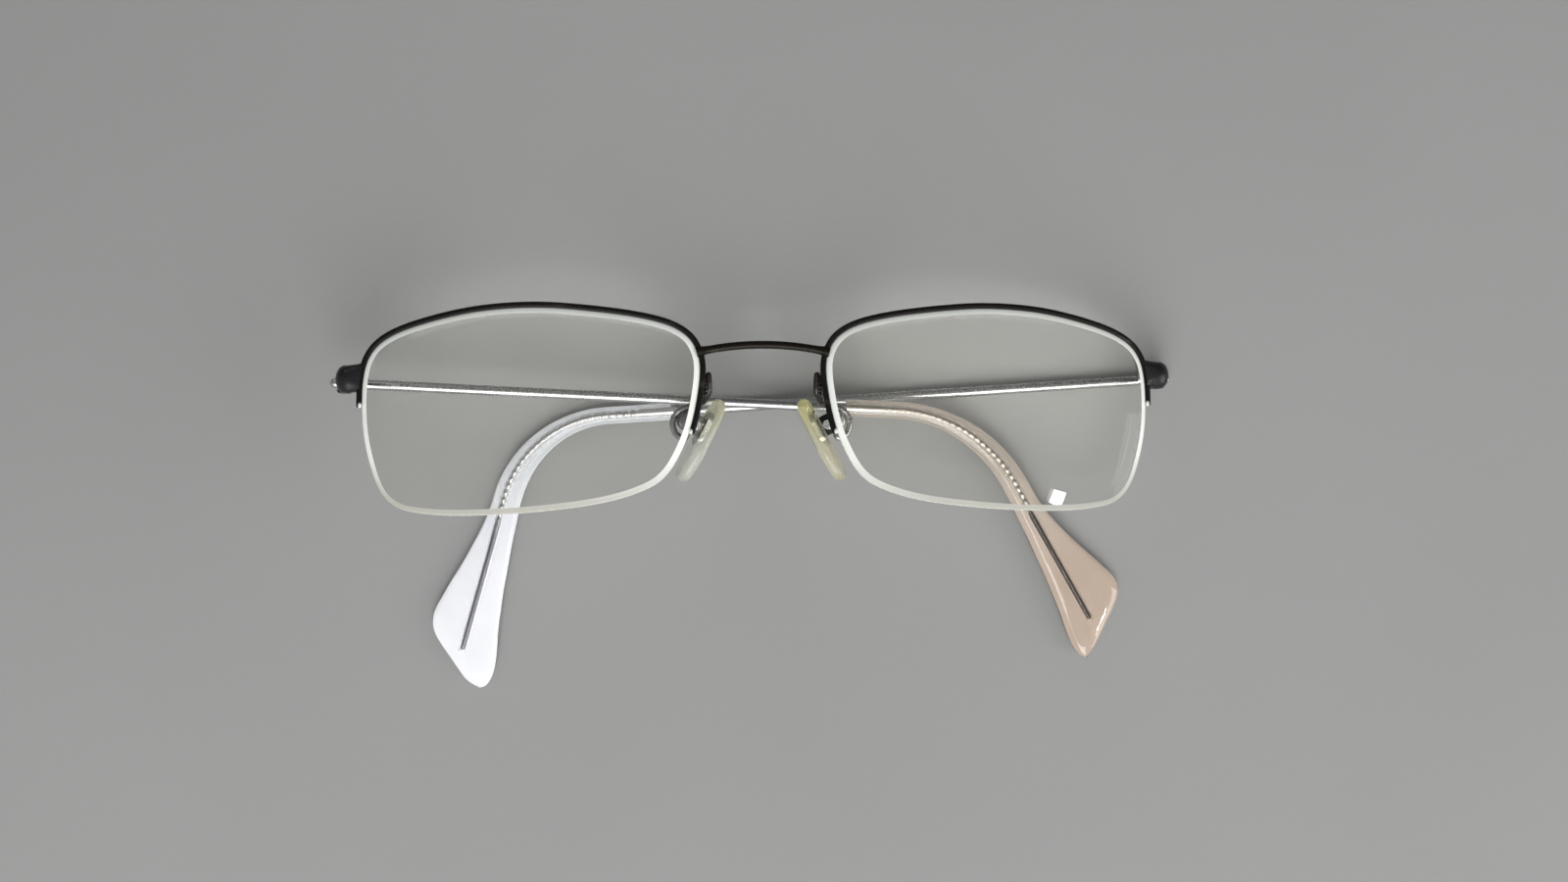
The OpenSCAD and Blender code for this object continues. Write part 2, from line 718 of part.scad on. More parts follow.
// Crown of a pad, as shares of its thickness: depth through the pad and how far the edge draws in there
pad_crown_share = [[-0.5, 1], [-0.46, 0.6], [-0.35, 0.27], [-0.15, 0.05], [0.15, 0], [0.41, 0.14],
    [0.5, 0.41]];
pad_power = 0.9;

module nose_pad(s) {
    color([0.85, 0.83, 0.6, 0.7])
        pad_frame(s)
            difference() {
                skin([for (c = pad_crown_share)
                    [for (k = [0 : pad_sides - 1])
                        let (a = 360 * k / pad_sides)
                        [c[0] * pad_t, (pad_l / 2 - c[1] * pad_t) * soft(cos(a), pad_power),
                            (pad_w / 2 - c[1] * pad_t) * soft(sin(a), pad_power)]]]);
                pad_insert(seat_gap);
            }
}

module pad_box(s) {
    color([0.3, 0.3, 0.31])
        pad_frame(s)
            difference() {
                translate([box_front, lug_up - box_half_h, -box_half_t])
                    cube([box_back - box_front, 2 * box_half_h, 2 * box_half_t]);
                translate([box_front - overlap, lug_up - pocket_half_h, -pocket_half_t])
                    cube([box_back - box_front + overlap - box_wall, 2 * pocket_half_h, 2 * pocket_half_t]);
                translate([rock_x, lug_up, -2 * box_half_t])
                    cylinder(r = pad_screw_r + seat_gap, h = 4 * box_half_t);
            }
}

module pad_screw(s) {
    color([0.6, 0.6, 0.6])
        pad_frame(s)
            translate([rock_x, lug_up, 0])
                difference() {
                    union() {
                        translate([0, 0, -box_half_t])
                            cylinder(r = pad_screw_r, h = 2 * box_half_t + seat_gap);
                        translate([0, 0, box_half_t + seat_gap])
                            cylinder(r = pad_head_r, h = pad_head_t);
                    }
                    translate([-pad_head_r, -screw_slot / 2, box_half_t + pad_head_t / 2])
                        cube([2 * pad_head_r, screw_slot, pad_head_t]);
                }
}

// Wire from the nose side of the rim, looped back under the box that it carries
module pad_arm(s) {
    start = [lens_gap / 2 - rim_out - arm_r - seat_gap, arm_start_y, arm_front];
    box_foot = [(box_front + box_back) / 2, lug_up - box_half_h - arm_end_gap, 0];
    path = concat([start], [for (p = arm_down) start + p], arm_loop,
        [pad_to_front(box_foot - [0, arm_foot, 0]), pad_to_front(box_foot)]);
    color([0.12, 0.12, 0.13])
        side(s)
            tube(route(path, arm_steps), arm_r);
}

half_rim(-1);  // right_half_rim
half_rim(1);  // left_half_rim
bridge();
lens(-1);  // right_lens
lens(1);  // left_lens
rim_liner(-1);  // right_rim_liner
rim_liner(1);  // left_rim_liner
lens_cord(-1);  // right_lens_cord
lens_cord(1);  // left_lens_cord
endpiece(-1);  // right_endpiece
endpiece(1);  // left_endpiece
hinge_leaf(-1);  // right_hinge_leaf
hinge_leaf(1);  // left_hinge_leaf
hinge_screw(-1);  // right_hinge_screw
hinge_screw(1);  // left_hinge_screw
hang_temple(-1, right_fold_angle) temple(right_way);  // right_temple
hang_temple(1, left_fold_angle) temple(left_way);  // left_temple
hang_temple(-1, right_fold_angle) temple_tip(right_way);  // right_temple_tip
hang_temple(1, left_fold_angle) temple_tip(left_way);  // left_temple_tip
pad_arm(-1);  // right_pad_arm
pad_arm(1);  // left_pad_arm
pad_box(-1);  // right_pad_box
pad_box(1);  // left_pad_box
pad_screw(-1);  // right_pad_screw
pad_screw(1);  // left_pad_screw
pad_lug(-1);  // right_pad_lug
pad_lug(1);  // left_pad_lug
nose_pad(-1);  // right_nose_pad
nose_pad(1);  // left_nose_pad
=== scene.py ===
import json
from math import asin, atan2, copysign, cos, exp, floor, hypot, pi, radians, sin, sqrt, tau
import bmesh
import bpy
from mathutils import Matrix, Vector


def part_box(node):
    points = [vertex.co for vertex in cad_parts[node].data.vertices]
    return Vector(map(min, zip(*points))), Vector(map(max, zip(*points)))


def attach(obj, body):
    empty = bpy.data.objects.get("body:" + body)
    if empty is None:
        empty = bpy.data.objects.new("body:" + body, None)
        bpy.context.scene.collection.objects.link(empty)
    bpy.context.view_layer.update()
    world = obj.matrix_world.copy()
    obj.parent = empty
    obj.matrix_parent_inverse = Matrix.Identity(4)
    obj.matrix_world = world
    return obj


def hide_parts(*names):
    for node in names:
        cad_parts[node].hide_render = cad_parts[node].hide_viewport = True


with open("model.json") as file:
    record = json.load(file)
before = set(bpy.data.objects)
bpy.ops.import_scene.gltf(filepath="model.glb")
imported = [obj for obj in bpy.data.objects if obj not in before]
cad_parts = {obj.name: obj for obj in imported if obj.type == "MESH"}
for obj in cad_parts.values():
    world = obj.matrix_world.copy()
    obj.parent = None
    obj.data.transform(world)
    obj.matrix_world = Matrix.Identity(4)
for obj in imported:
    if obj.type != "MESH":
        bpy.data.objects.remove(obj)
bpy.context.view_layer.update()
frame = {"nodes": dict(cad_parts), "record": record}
record = frame["record"]
scene = bpy.context.scene
mm = 0.001

# The wearer's right side is at -X
sides = {"right": -1, "left": 1}
seat = 0.03  # clearance between pieces that seat on each other

# Where the photograph was taken from, and its lens as Blender counts it
photo = {"x": 3.93, "aboveHinges": -9.6387, "height": 220.2, "roll": -0.263, "focal": 30.375, "sensor": 36.0,
         "nearest": 5.0}

# The front stands tilted over the folded temples
front = {"hingeBack": 10.4, "hingeRise": 5.05}


def hingePlace(side):
    joints = record["behaviour"]["joints"]
    return Vector(next(j["pos_m"] for j in joints if j["name"] == f"{side}_temple_fold"))


def templeAxis(side):
    mounts = record["mounts"]
    return Vector(next(m["axis"] for m in mounts if m["name"] == f"{side}_temple_wire")).normalized()


def frontMatrix():
    right, left = hingePlace("right"), hingePlace("left")
    turn = Matrix.Rotation(atan2(right.z - left.z, left.x - right.x), 4, "Y")
    away = turn @ Vector((0, front["hingeRise"], -front["hingeBack"])) * mm
    return Matrix.Translation((right + left) / 2 - away) @ turn @ Matrix.Scale(mm, 4)


def sideMatrix(side):
    return frontMatrix() @ Matrix.Diagonal((sides[side], 1, 1, 1))


def spline(a, b, c, d, f):
    return 0.5 * (2 * b + (c - a) * f + (2 * a - 5 * b + 4 * c - d) * f * f
                  + (3 * b - a - 3 * c + d) * f ** 3)


def routePoint(points, t):
    i = min(int(t), len(points) - 2)
    b, c = points[i], points[i + 1]
    a = points[i - 1] if i > 0 else 2 * b - c
    d = points[i + 2] if i < len(points) - 2 else 2 * c - b
    return spline(a, b, c, d, t - i)


# Height of the smooth line through (x, y) pairs, for x between the first and the last
def smoothTable(table, x):
    i = max(k for k in range(len(table) - 1) if table[k][0] <= x)

    def slopeAt(k):
        low, high = max(k - 1, 0), min(k + 1, len(table) - 1)
        return (table[high][1] - table[low][1]) / (table[high][0] - table[low][0])
    wide = table[i + 1][0] - table[i][0]
    f = (x - table[i][0]) / wide
    return ((2 * f ** 3 - 3 * f ** 2 + 1) * table[i][1] + (f ** 3 - 2 * f ** 2 + f) * wide * slopeAt(i)
            + (3 * f ** 2 - 2 * f ** 3) * table[i + 1][1] + (f ** 3 - f ** 2) * wide * slopeAt(i + 1))


def spread(low, high, count):
    return [low + (high - low) * k / count for k in range(count + 1)]


# Even places, each with the same value
def evenly(value, low, high, count):
    return [(place, value) for place in spread(low, high, count)]


def soft(value, power):
    return copysign(abs(value) ** power, value)


# Closed section of these half sizes, squarer with lower powers
def softSection(half, deep, powers, count):
    turns = [tau * k / count for k in range(count)]
    return [(half * soft(cos(a), powers[0]), deep * soft(sin(a), powers[1])) for a in turns]


def circleSection(radius, count):
    return softSection(radius, radius, (1, 1), count)


firstSide = Vector((0.02, 0.03, 1))  # roughly across the start of every path
endTurn = (0.3, pi / 2 - 0.12)  # angles over which a wire's end is rounded off
levelWithin = 0.001  # ends of a level edge differ by less


# Mesh with a skin through rings of places, extruded from one to the next
def sweep(rings, capped=True):
    bm = bmesh.new()
    ring = bmesh.ops.create_circle(bm, segments=len(rings[0]), radius=1)["verts"]
    for vert, place in zip(ring, rings[0]):
        vert.co = place

    def edgesOf(verts):
        return [bm.edges.get(pair) for pair in zip(verts, verts[1:] + verts[:1])]
    edges = edgesOf(ring)
    if capped:
        bmesh.ops.contextual_create(bm, geom=edges)
    for places in rings[1:]:
        made = bmesh.ops.extrude_edge_only(bm, edges=edges)["geom"]
        grown = {g for g in made if isinstance(g, bmesh.types.BMVert)}
        following = []
        for vert, place in zip(ring, places):
            nextVert = next(e.other_vert(vert) for e in vert.link_edges if e.other_vert(vert) in grown)
            nextVert.co = place
            following.append(nextVert)
        ring = following
        edges = edgesOf(ring)
    if capped:
        bmesh.ops.contextual_create(bm, geom=edges)
    return bm


# Round rings along a path, carried on without twist
def tubeRings(path, radii, count):
    rings, side = [], firstSide
    for j, place in enumerate(path):
        along = (path[min(j + 1, len(path) - 1)] - path[max(j - 1, 0)]).normalized()
        side = (side - side.dot(along) * along).normalized()
        up = along.cross(side)
        rings.append([place + a * side + b * up for a, b in circleSection(radii[j], count)])
    return rings


# A path with extra places before its start, and the radii that round it off there
def roundStart(path, radius, steps):
    out = (path[0] - path[1]).normalized()
    turns = spread(*endTurn, steps)[::-1]
    places = [path[0] + out * radius * sin(a) for a in turns] + path
    return places, [radius * cos(a) for a in turns] + [radius] * len(path)


def roundEdges(bm, edges, size, steps=3):
    bmesh.ops.bevel(bm, geom=edges, offset=size, segments=steps, affect="EDGES", profile=0.5, material=-1)


def levelEdges(edges, axis):
    return [e for e in edges if abs(e.verts[0].co[axis] - e.verts[1].co[axis]) < levelWithin]


def addBox(bm, low, high, rounding, steps=3):
    verts = bmesh.ops.create_cube(bm, size=1)["verts"]
    low, high = Vector(low), Vector(high)
    bmesh.ops.scale(bm, vec=high - low, verts=verts)
    bmesh.ops.translate(bm, vec=(low + high) / 2, verts=verts)
    roundEdges(bm, list({e for v in verts for e in v.link_edges}), rounding, steps)


def addCylinder(bm, radius, depth, segments):
    return bmesh.ops.create_cone(bm, segments=segments, radius1=radius, radius2=radius, depth=depth,
                                 cap_ends=True)["verts"]


# Cylinder along Y from low to high; with outer given, only its rim at that height is rounded
def addBarrel(bm, radius, low, high, rounding, segments, centre=(0, 0), outer=None):
    verts = addCylinder(bm, radius, high - low, segments)
    bmesh.ops.rotate(bm, cent=(0, 0, 0), matrix=Matrix.Rotation(pi / 2, 3, "X"), verts=verts)
    bmesh.ops.translate(bm, vec=(centre[0], (low + high) / 2, centre[1]), verts=verts)
    rims = levelEdges({e for v in verts for e in v.link_edges}, 1)
    if outer is not None:
        rims = [e for e in rims if abs(e.verts[0].co.y - outer) < levelWithin]
    roundEdges(bm, rims, rounding)


# Drop of melted nylon or brazing, scaled from a ball
def addDrop(bm, place, drop):
    verts = bmesh.ops.create_uvsphere(
        bm, u_segments=drop["around"], v_segments=drop["along"], radius=drop["radius"])["verts"]
    bmesh.ops.scale(bm, vec=drop["shape"], verts=verts)
    bmesh.ops.translate(bm, vec=place, verts=verts)


def addObject(name, data):
    made = bpy.data.objects.new(name, data)
    scene.collection.objects.link(made)
    return made


def addMesh(bm, name, material):
    mesh = bpy.data.meshes.new(name)
    bm.to_mesh(mesh)
    bm.free()
    mesh.materials.append(material)
    return addObject(name, mesh)


def addPiece(bm, name, matrix, material, replaced=None, body="front", sharp=50):
    bmesh.ops.recalc_face_normals(bm, faces=bm.faces)
    bmesh.ops.transform(bm, matrix=matrix, verts=bm.verts)
    if matrix.determinant() < 0:
        bmesh.ops.reverse_faces(bm, faces=bm.faces)
    for face in bm.faces:
        face.smooth = True
    for edge in bm.edges:
        edge.smooth = edge.calc_face_angle(0) < radians(sharp)
    piece = addMesh(bm, name, material)
    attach(piece, body)
    if replaced:
        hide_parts(replaced)


colourSockets = ("Base", "Shade", "Colour")  # of the shader groups; the others are numbers


def newGroup(name, inputs, outputs):
    group = bpy.data.node_groups.new(name, "ShaderNodeTree")
    for way, labels in (("INPUT", inputs), ("OUTPUT", outputs)):
        for label in labels:
            kind = "Color" if label in colourSockets else "Float"
            group.interface.new_socket(label, in_out=way, socket_type=f"NodeSocket{kind}")
    return group, group.nodes.new("NodeGroupInput").outputs, group.nodes.new("NodeGroupOutput")


# Links a node's inputs or sets their plain values
def feed(node, inputs):
    for label, given in inputs.items():
        if isinstance(given, bpy.types.NodeSocket):
            node.id_data.links.new(given, node.inputs[label])
        else:
            node.inputs[label].default_value = given
    return node.outputs


def addNode(tree, kind, inputs):
    return feed(tree.nodes.new(f"ShaderNode{kind}"), inputs)


def addNoise(tree, where, scale, detail=4, stretch=(1, 1, 1)):
    mapped = addNode(tree, "Mapping", {"Vector": where, "Scale": stretch})["Vector"]
    noise = addNode(tree, "TexNoise", {"Vector": mapped, "Scale": scale, "Detail": detail, "Roughness": 0.55})
    return noise["Fac"]


def mapRange(tree, value, low=0.0, high=1.0, toLow=0.0, toHigh=1.0):
    ends = {"From Min": low, "From Max": high, "To Min": toLow, "To Max": toHigh}
    return addNode(tree, "MapRange", {"Value": value, **ends})["Result"]


def mixColour(tree, fac, first, second):
    node = tree.nodes.new("ShaderNodeMix")
    node.data_type = "RGBA"
    return feed(node, {"Factor": fac, 6: first, 7: second})[2]


def combine(tree, operation, first, second):
    node = tree.nodes.new("ShaderNodeMath")
    node.operation = operation
    return feed(node, {0: first, 1: second})[0]


def objectPlace(tree):
    return addNode(tree, "TexCoord", {})["Object"]


# Value that changes with height along Y, in metres
def alongY(tree, low, high, **shares):
    height = addNode(tree, "SeparateXYZ", {"Vector": objectPlace(tree)})["Y"]
    return mapRange(tree, height, low, high, **shares)


# Uneven colour, uneven gloss and fine surface height
def makeFinishGroup():
    group, takes, end = newGroup(
        "surfaceFinish", ("Base", "Shade", "Broad Scale", "Fine Scale", "Vary", "Gloss Low", "Gloss High"),
        ("Colour", "Roughness", "Height"))
    place = objectPlace(group)
    broad = addNoise(group, place, takes["Broad Scale"])
    fine = addNoise(group, place, takes["Fine Scale"], detail=6)
    shaded = combine(group, "MULTIPLY", mapRange(group, broad, low=0.35, high=0.7), takes["Vary"])
    gloss = mapRange(group, fine, low=0.3, high=0.7, toLow=takes["Gloss Low"], toHigh=takes["Gloss High"])
    colour = mixColour(group, shaded, takes["Base"], takes["Shade"])
    feed(end, {"Colour": colour, "Roughness": gloss, "Height": fine})
    return group


# Greasy patches crossed by fine wiping streaks, as a roughness and a mask
def makeSmudgeGroup():
    group, takes, end = newGroup("wipeMarks", ("Clean", "Smeared", "Scale"), ("Roughness", "Mask"))
    place = objectPlace(group)
    patches = mapRange(group, addNoise(group, place, takes["Scale"], detail=2), low=0.52, high=0.72)
    streakNoise = addNoise(group, place, scale=900, detail=3, stretch=(1, 0.12, 1))
    streaks = mapRange(group, streakNoise, low=0.5, high=0.75, toLow=0.2)
    mask = combine(group, "MULTIPLY", patches, streaks)
    rough = mapRange(group, mask, toLow=takes["Clean"], toHigh=takes["Smeared"])
    feed(end, {"Mask": mask, "Roughness": rough})
    return group


# Mask of rubbed edges and short scratches
def makeWearGroup():
    group, takes, end = newGroup("rubbedEdges", ("Edge", "Scratches", "Scratch Scale"), ("Mask",))
    edge = mapRange(group, addNode(group, "NewGeometry", {})["Pointiness"], low=0.56, high=0.66)
    place = objectPlace(group)
    broken = mapRange(group, addNoise(group, place, takes["Scratch Scale"], detail=5), low=0.5, high=0.68)
    streakNoise = addNoise(group, place, takes["Scratch Scale"], detail=2, stretch=(0.15, 1, 1))
    streak = mapRange(group, streakNoise, low=0.66, high=0.74, toHigh=takes["Scratches"])
    rubbed = combine(group, "MULTIPLY", combine(group, "MULTIPLY", edge, broken), takes["Edge"])
    feed(end, {"Mask": combine(group, "MAXIMUM", rubbed, streak)})
    return group


finishGroup = makeFinishGroup()
smudgeGroup = makeSmudgeGroup()
wearGroup = makeWearGroup()
print("shader groups made")


# What is the same all over a piece goes on the shader's own sockets
def newMaterial(name, **constants):
    material = bpy.data.materials.new(name)
    material.use_nodes = True
    tree = material.node_tree
    shader = tree.nodes["Principled BSDF"]
    feed(shader, {label.replace("_", " "): value for label, value in constants.items()})
    return material, tree, shader


def placeGroup(tree, group, values):
    node = tree.nodes.new("ShaderNodeGroup")
    node.node_tree = group
    return feed(node, values)


# Uneven finish; depth of its relief in mm
def finishMaterial(
        name, base, shade, rough, broad=120, fine=2500, vary=0.6, bump=0.1, depth=0.02, **constants):
    material, tree, shader = newMaterial(name, **constants)
    finish = placeGroup(tree, finishGroup, {
        "Base": (*base, 1), "Shade": (*shade, 1), "Vary": vary, "Broad Scale": broad, "Fine Scale": fine,
        "Gloss Low": rough[0], "Gloss High": rough[1]})
    relief = addNode(tree, "Bump", {"Height": finish["Height"], "Strength": bump, "Distance": depth * mm})
    feed(shader, {"Base Color": finish["Colour"], "Roughness": finish["Roughness"],
                  "Normal": relief["Normal"]})
    return material, tree, shader, finish["Colour"]


# Another colour over a piece's own, by a mask
def layOver(shader, mask, colour, over):
    feed(shader, {"Base Color": mixColour(shader.id_data, mask, colour, (*over, 1))})


# Glossy black lacquer, rubbed down to dark metal along its edges
def lacquerMaterial(name, base, shade, rubbed, gloss, edge=0.0):
    material, tree, shader, colour = finishMaterial(
        name, base, shade, rough=(0.22, 0.36), bump=0.06, Specular_IOR_Level=gloss)
    wear = placeGroup(tree, wearGroup, {"Edge": edge, "Scratches": 0.15, "Scratch Scale": 420.0})["Mask"]
    layOver(shader, wear, colour, rubbed)
    feed(shader, {"Metallic": mapRange(tree, wear, toHigh=0.8)})
    return material


# Turned or drawn steel with fine scratches
def steelMaterial(name, base, shade, rough, edge=0.0):
    material, tree, shader, colour = finishMaterial(
        name, base, shade, rough, fine=4000, bump=0.15, Metallic=1.0)
    wear = placeGroup(tree, wearGroup, {"Edge": edge, "Scratches": 0.25, "Scratch Scale": 600.0})["Mask"]
    lighter = tuple(min(1, 1.6 * c + 0.05) for c in base)
    layOver(shader, wear, colour, lighter)
    return material


# Light passes this clear piece for shadows, tinted
def letShadowThrough(tree, shader, tint):
    path = addNode(tree, "LightPath", {})
    clear = addNode(tree, "BsdfTransparent", {"Color": (*tint, 1)})
    mix = addNode(tree, "MixShader", {0: path["Is Shadow Ray"], 1: shader.outputs["BSDF"], 2: clear["BSDF"]})
    feed(tree.nodes["Material Output"], {"Surface": mix["Shader"]})


lensTones = {"clean": (0.985, 0.98, 0.955, 1), "greasy": (0.96, 0.955, 0.93), "shadow": (0.94, 0.945, 0.93)}


# Clear lens with greasy wipe marks and a faint warm tint
def lensMaterial():
    material, tree, shader = newMaterial(
        "clearLens", Transmission_Weight=1.0, IOR=1.3, Specular_IOR_Level=0.35)
    smudge = placeGroup(tree, smudgeGroup, {"Clean": 0.0, "Smeared": 0.07, "Scale": 55.0})
    feed(shader, {"Roughness": smudge["Roughness"]})
    layOver(shader, smudge["Mask"], lensTones["clean"], lensTones["greasy"])
    letShadowThrough(tree, shader, lensTones["shadow"])
    return material


# Clear plastic, more or less clouded
def clearMaterial(name, base, shade, rough, transmission, shadow, bump=0.08, **constants):
    material, tree, shader, colour = finishMaterial(name, base, shade, rough, broad=90, fine=1800, bump=bump,
                                                    Transmission_Weight=transmission, IOR=1.45, **constants)
    letShadowThrough(tree, shader, shadow)
    return material, tree, shader, colour


# Milky plastic, thinner and paler towards the mouth of the tip
def cloudMaterial(name, base, shade, pale, mouth):
    material, tree, shader, colour = finishMaterial(name, base, shade, rough=(0.5, 0.7), broad=160, fine=900)
    layOver(shader, alongY(tree, low=-0.012, high=0.006), colour, pale)
    feed(shader, {"Alpha": alongY(tree, low=0.014, high=-0.004, toLow=mouth, toHigh=0.97)})
    return material


# Ground edge tones: the glow entries are a painted glow, and the bottom tone is painted shade
edgeTonesAndPaintedLight = {"side": (0.94, 0.95, 0.9), "shade": (0.86, 0.87, 0.8), "bottom": (0.58, 0.57, 0.51),
             "sidePaintedGlow": (0.65, 0.7, 0.65, 1), "bottomPaintedGlow": (0.0, 0.0, 0.0, 1)}


# Matt ground edge with a painted glow (emission, though it is no lamp) on its sides, darker and without the
# glow along the bottom of the lens as painted shade
def edgeMaterial():
    material, tree, shader, colour = finishMaterial(
        "groundEdgeAndPaintedGlow", edgeTonesAndPaintedLight["side"], edgeTonesAndPaintedLight["shade"], rough=(0.4, 0.6), broad=300, fine=6000,
        bump=0.35, depth=0.03, Emission_Strength=0.12)
    # Mask towards the bottom of the lens, where painted shade replaces the painted glow
    bottom = alongY(tree, low=0.007, high=0.0)
    layOver(shader, bottom, colour, edgeTonesAndPaintedLight["bottom"])
    paintedGlow = mixColour(tree, bottom, edgeTonesAndPaintedLight["sidePaintedGlow"], edgeTonesAndPaintedLight["bottomPaintedGlow"])
    feed(shader, {"Emission Color": paintedGlow, "Alpha": alongY(tree, low=0.002, high=0.009, toLow=0.62)})
    return material


# Bright ringed wire in the sleeve, darker where it runs into the paddle
def coreMaterial(name, paddle, past):
    material, tree, shader, colour = finishMaterial(
        name, base=(0.7, 0.69, 0.66), shade=(0.55, 0.54, 0.5), rough=(0.28, 0.42), fine=4000, bump=0.15,
        Metallic=1.0)
    layOver(shader, alongY(tree, low=0.001, high=past), colour, paddle)
    return material


# Black lacquer on the stub, worn to grey steel on the loop below it
def armMaterial(name, base, shade, worn):
    material, tree, shader, colour = finishMaterial(
        name, base, shade, rough=(0.2, 0.34), bump=0.08, Specular_IOR_Level=0.45)
    bare = alongY(tree, low=0.0155, high=0.0135)
    layOver(shader, bare, colour, worn)
    feed(shader, {"Metallic": bare})
    return material


# Clear soft pad, yellowed towards its top
def padMaterial(name, low, high, clear, aged):
    shade = tuple(0.93 * c for c in clear)
    material, tree, shader, colour = clearMaterial(
        name, clear, shade, rough=(0.08, 0.2), transmission=0.76, shadow=(0.86, 0.85, 0.74))
    layOver(shader, alongY(tree, low, high), colour, aged)
    return material


blackLacquer = lacquerMaterial("blackLacquer", base=(0.007, 0.0065, 0.006), shade=(0.014, 0.012, 0.01),
                               rubbed=(0.2, 0.18, 0.15), gloss=0.14)
lugLacquer = lacquerMaterial("endPieceLacquer", base=(0.01, 0.01, 0.011), shade=(0.02, 0.02, 0.02),
                             rubbed=(0.2, 0.19, 0.17), gloss=0.4, edge=0.4)
# Black lacquer of the bridge, tinted brown as a painted reflection of brown surroundings
bridgeLacquerAndPaintedReflection = lacquerMaterial("bridgeLacquerAndPaintedReflection", base=(0.009, 0.007, 0.004), shade=(0.018, 0.013, 0.008),
                                rubbed=(0.2, 0.16, 0.1), gloss=0.15)
armLacquer = armMaterial(
    "armFinish", base=(0.015, 0.012, 0.01), shade=(0.03, 0.025, 0.02), worn=(0.42, 0.42, 0.41))
templeSteel = steelMaterial("templeSteel", base=(0.6, 0.6, 0.6), shade=(0.45, 0.45, 0.45), rough=(0.22, 0.34))
darkSteel = steelMaterial(
    "darkSteel", base=(0.08, 0.08, 0.085), shade=(0.045, 0.045, 0.045), rough=(0.25, 0.42), edge=0.6)
greySteel = steelMaterial(
    "greySteel", base=(0.17, 0.17, 0.165), shade=(0.11, 0.11, 0.105), rough=(0.35, 0.5), edge=0.3)
screwSteel = steelMaterial(
    "screwSteel", base=(0.5, 0.5, 0.48), shade=(0.36, 0.35, 0.33), rough=(0.18, 0.35), edge=0.6)
bareSteel = steelMaterial(
    "bareSteel", base=(0.5, 0.49, 0.47), shade=(0.34, 0.33, 0.31), rough=(0.16, 0.32), edge=0.6)
coreMaterials = {"left": coreMaterial("leftCore", paddle=(0.23, 0.23, 0.235), past=-0.006),
                 "right": coreMaterial("rightCore", paddle=(0.055, 0.04, 0.03), past=-0.003)}
clearLens = lensMaterial()
groundEdgeAndPaintedGlow = edgeMaterial()
nylon = clearMaterial("nylonCord", base=(0.9, 0.9, 0.84), shade=(0.8, 0.8, 0.73), rough=(0.2, 0.35),
                      transmission=0.3, shadow=(0.7, 0.7, 0.67))[0]
# Near-white melted nylon: partly the beads' own colour, partly a painted glint
meltedNylonAndGlint = clearMaterial("meltedNylonAndGlint", base=(0.96, 0.96, 0.94), shade=(0.9, 0.9, 0.88), rough=(0.1, 0.2),
                            transmission=0.15, shadow=(0.7, 0.7, 0.69), bump=0.03)[0]
tipMaterials = {
    "left": clearMaterial("leftTipClear", base=(0.97, 0.97, 0.985), shade=(0.92, 0.92, 0.94),
                          rough=(0.04, 0.14), transmission=1.0, shadow=(0.93, 0.93, 0.95), bump=0.03)[0],
    "right": clearMaterial("rightTipClear", base=(0.97, 0.94, 0.91), shade=(0.93, 0.89, 0.85),
                           rough=(0.04, 0.12), transmission=1.0, shadow=(0.93, 0.89, 0.85), bump=0.03,
                           Coat_Weight=0.8, Coat_Roughness=0.06)[0]}
# The left cloud's near-white is partly the tip's milky colour and partly a painted reflection of the window
cloudMaterials = {
    "left": cloudMaterial("leftTipCloudAndReflection", base=(0.88, 0.885, 0.89), shade=(0.81, 0.815, 0.825),
                          pale=(0.7, 0.72, 0.74), mouth=0.85),
    "right": cloudMaterial("rightTipCloud", base=(0.53, 0.44, 0.37), shade=(0.46, 0.37, 0.3),
                           pale=(0.54, 0.5, 0.455), mouth=0.75)}
print("materials made")

lens = {"width": 51.4, "height": 31.6, "gap": 19.6, "thick": 2.0, "frontRadius": 132.0, "wrap": 4.0,
        "frontSteps": [(0.95, 0), (0.57, 0.1), (0.15, 0.3), (0.02, 0.4)],  # in from the edge, off the face
        "backSteps": [(0.02, 0.3), (0.1, 0.2), (0.35, 0)],
        "groove": {"half": 0.4, "depth": 0.5, "lip": 0.1, "lipRound": 0.02, "shares": [(0.8, 0.8), (1, 0.4)]},
        "rings": [0.05, 0.2, 0.4, 0.6, 0.75, 0.87, 0.95, 1.0], "perPoint": 8, "feel": 0.05}
# Its outline, from the nose over the top and back under, as shares of half the width and height
outlinePoints = [Vector(p) for p in (
    (-1, 0.4), (-0.965, 0.64), (-0.87, 0.79), (-0.7, 0.885), (-0.42, 0.955), (-0.05, 1), (0.3, 0.965),
    (0.62, 0.855), (0.83, 0.73), (0.945, 0.57), (0.995, 0.32), (1, -0.1), (0.965, -0.45), (0.9, -0.75),
    (0.8, -0.91), (0.65, -0.97), (0.4, -0.99), (0, -0.96), (-0.4, -0.88), (-0.66, -0.76), (-0.8, -0.61),
    (-0.9, -0.34), (-0.965, -0.02))]
outlineCount = len(outlinePoints)
midRadius = lens["frontRadius"] - lens["thick"] / 2
halfWidth = lens["width"] / 2
edgeDrop = lens["thick"] / 2 + halfWidth ** 2 / (2 * midRadius)
wrap = radians(lens["wrap"])
eyeX = lens["gap"] / 2 + halfWidth * cos(wrap) + edgeDrop * sin(wrap)
eyeZ = edgeDrop * cos(wrap) - halfWidth * sin(wrap)


def eyeMatrix(side):
    return sideMatrix(side) @ Matrix.Translation((eyeX, 0, eyeZ)) @ Matrix.Rotation(wrap, 4, "Y")


def outlinePoint(t):
    i = floor(t)
    return spline(*(outlinePoints[(i + k) % outlineCount] for k in (-1, 0, 1, 2)), t - i)


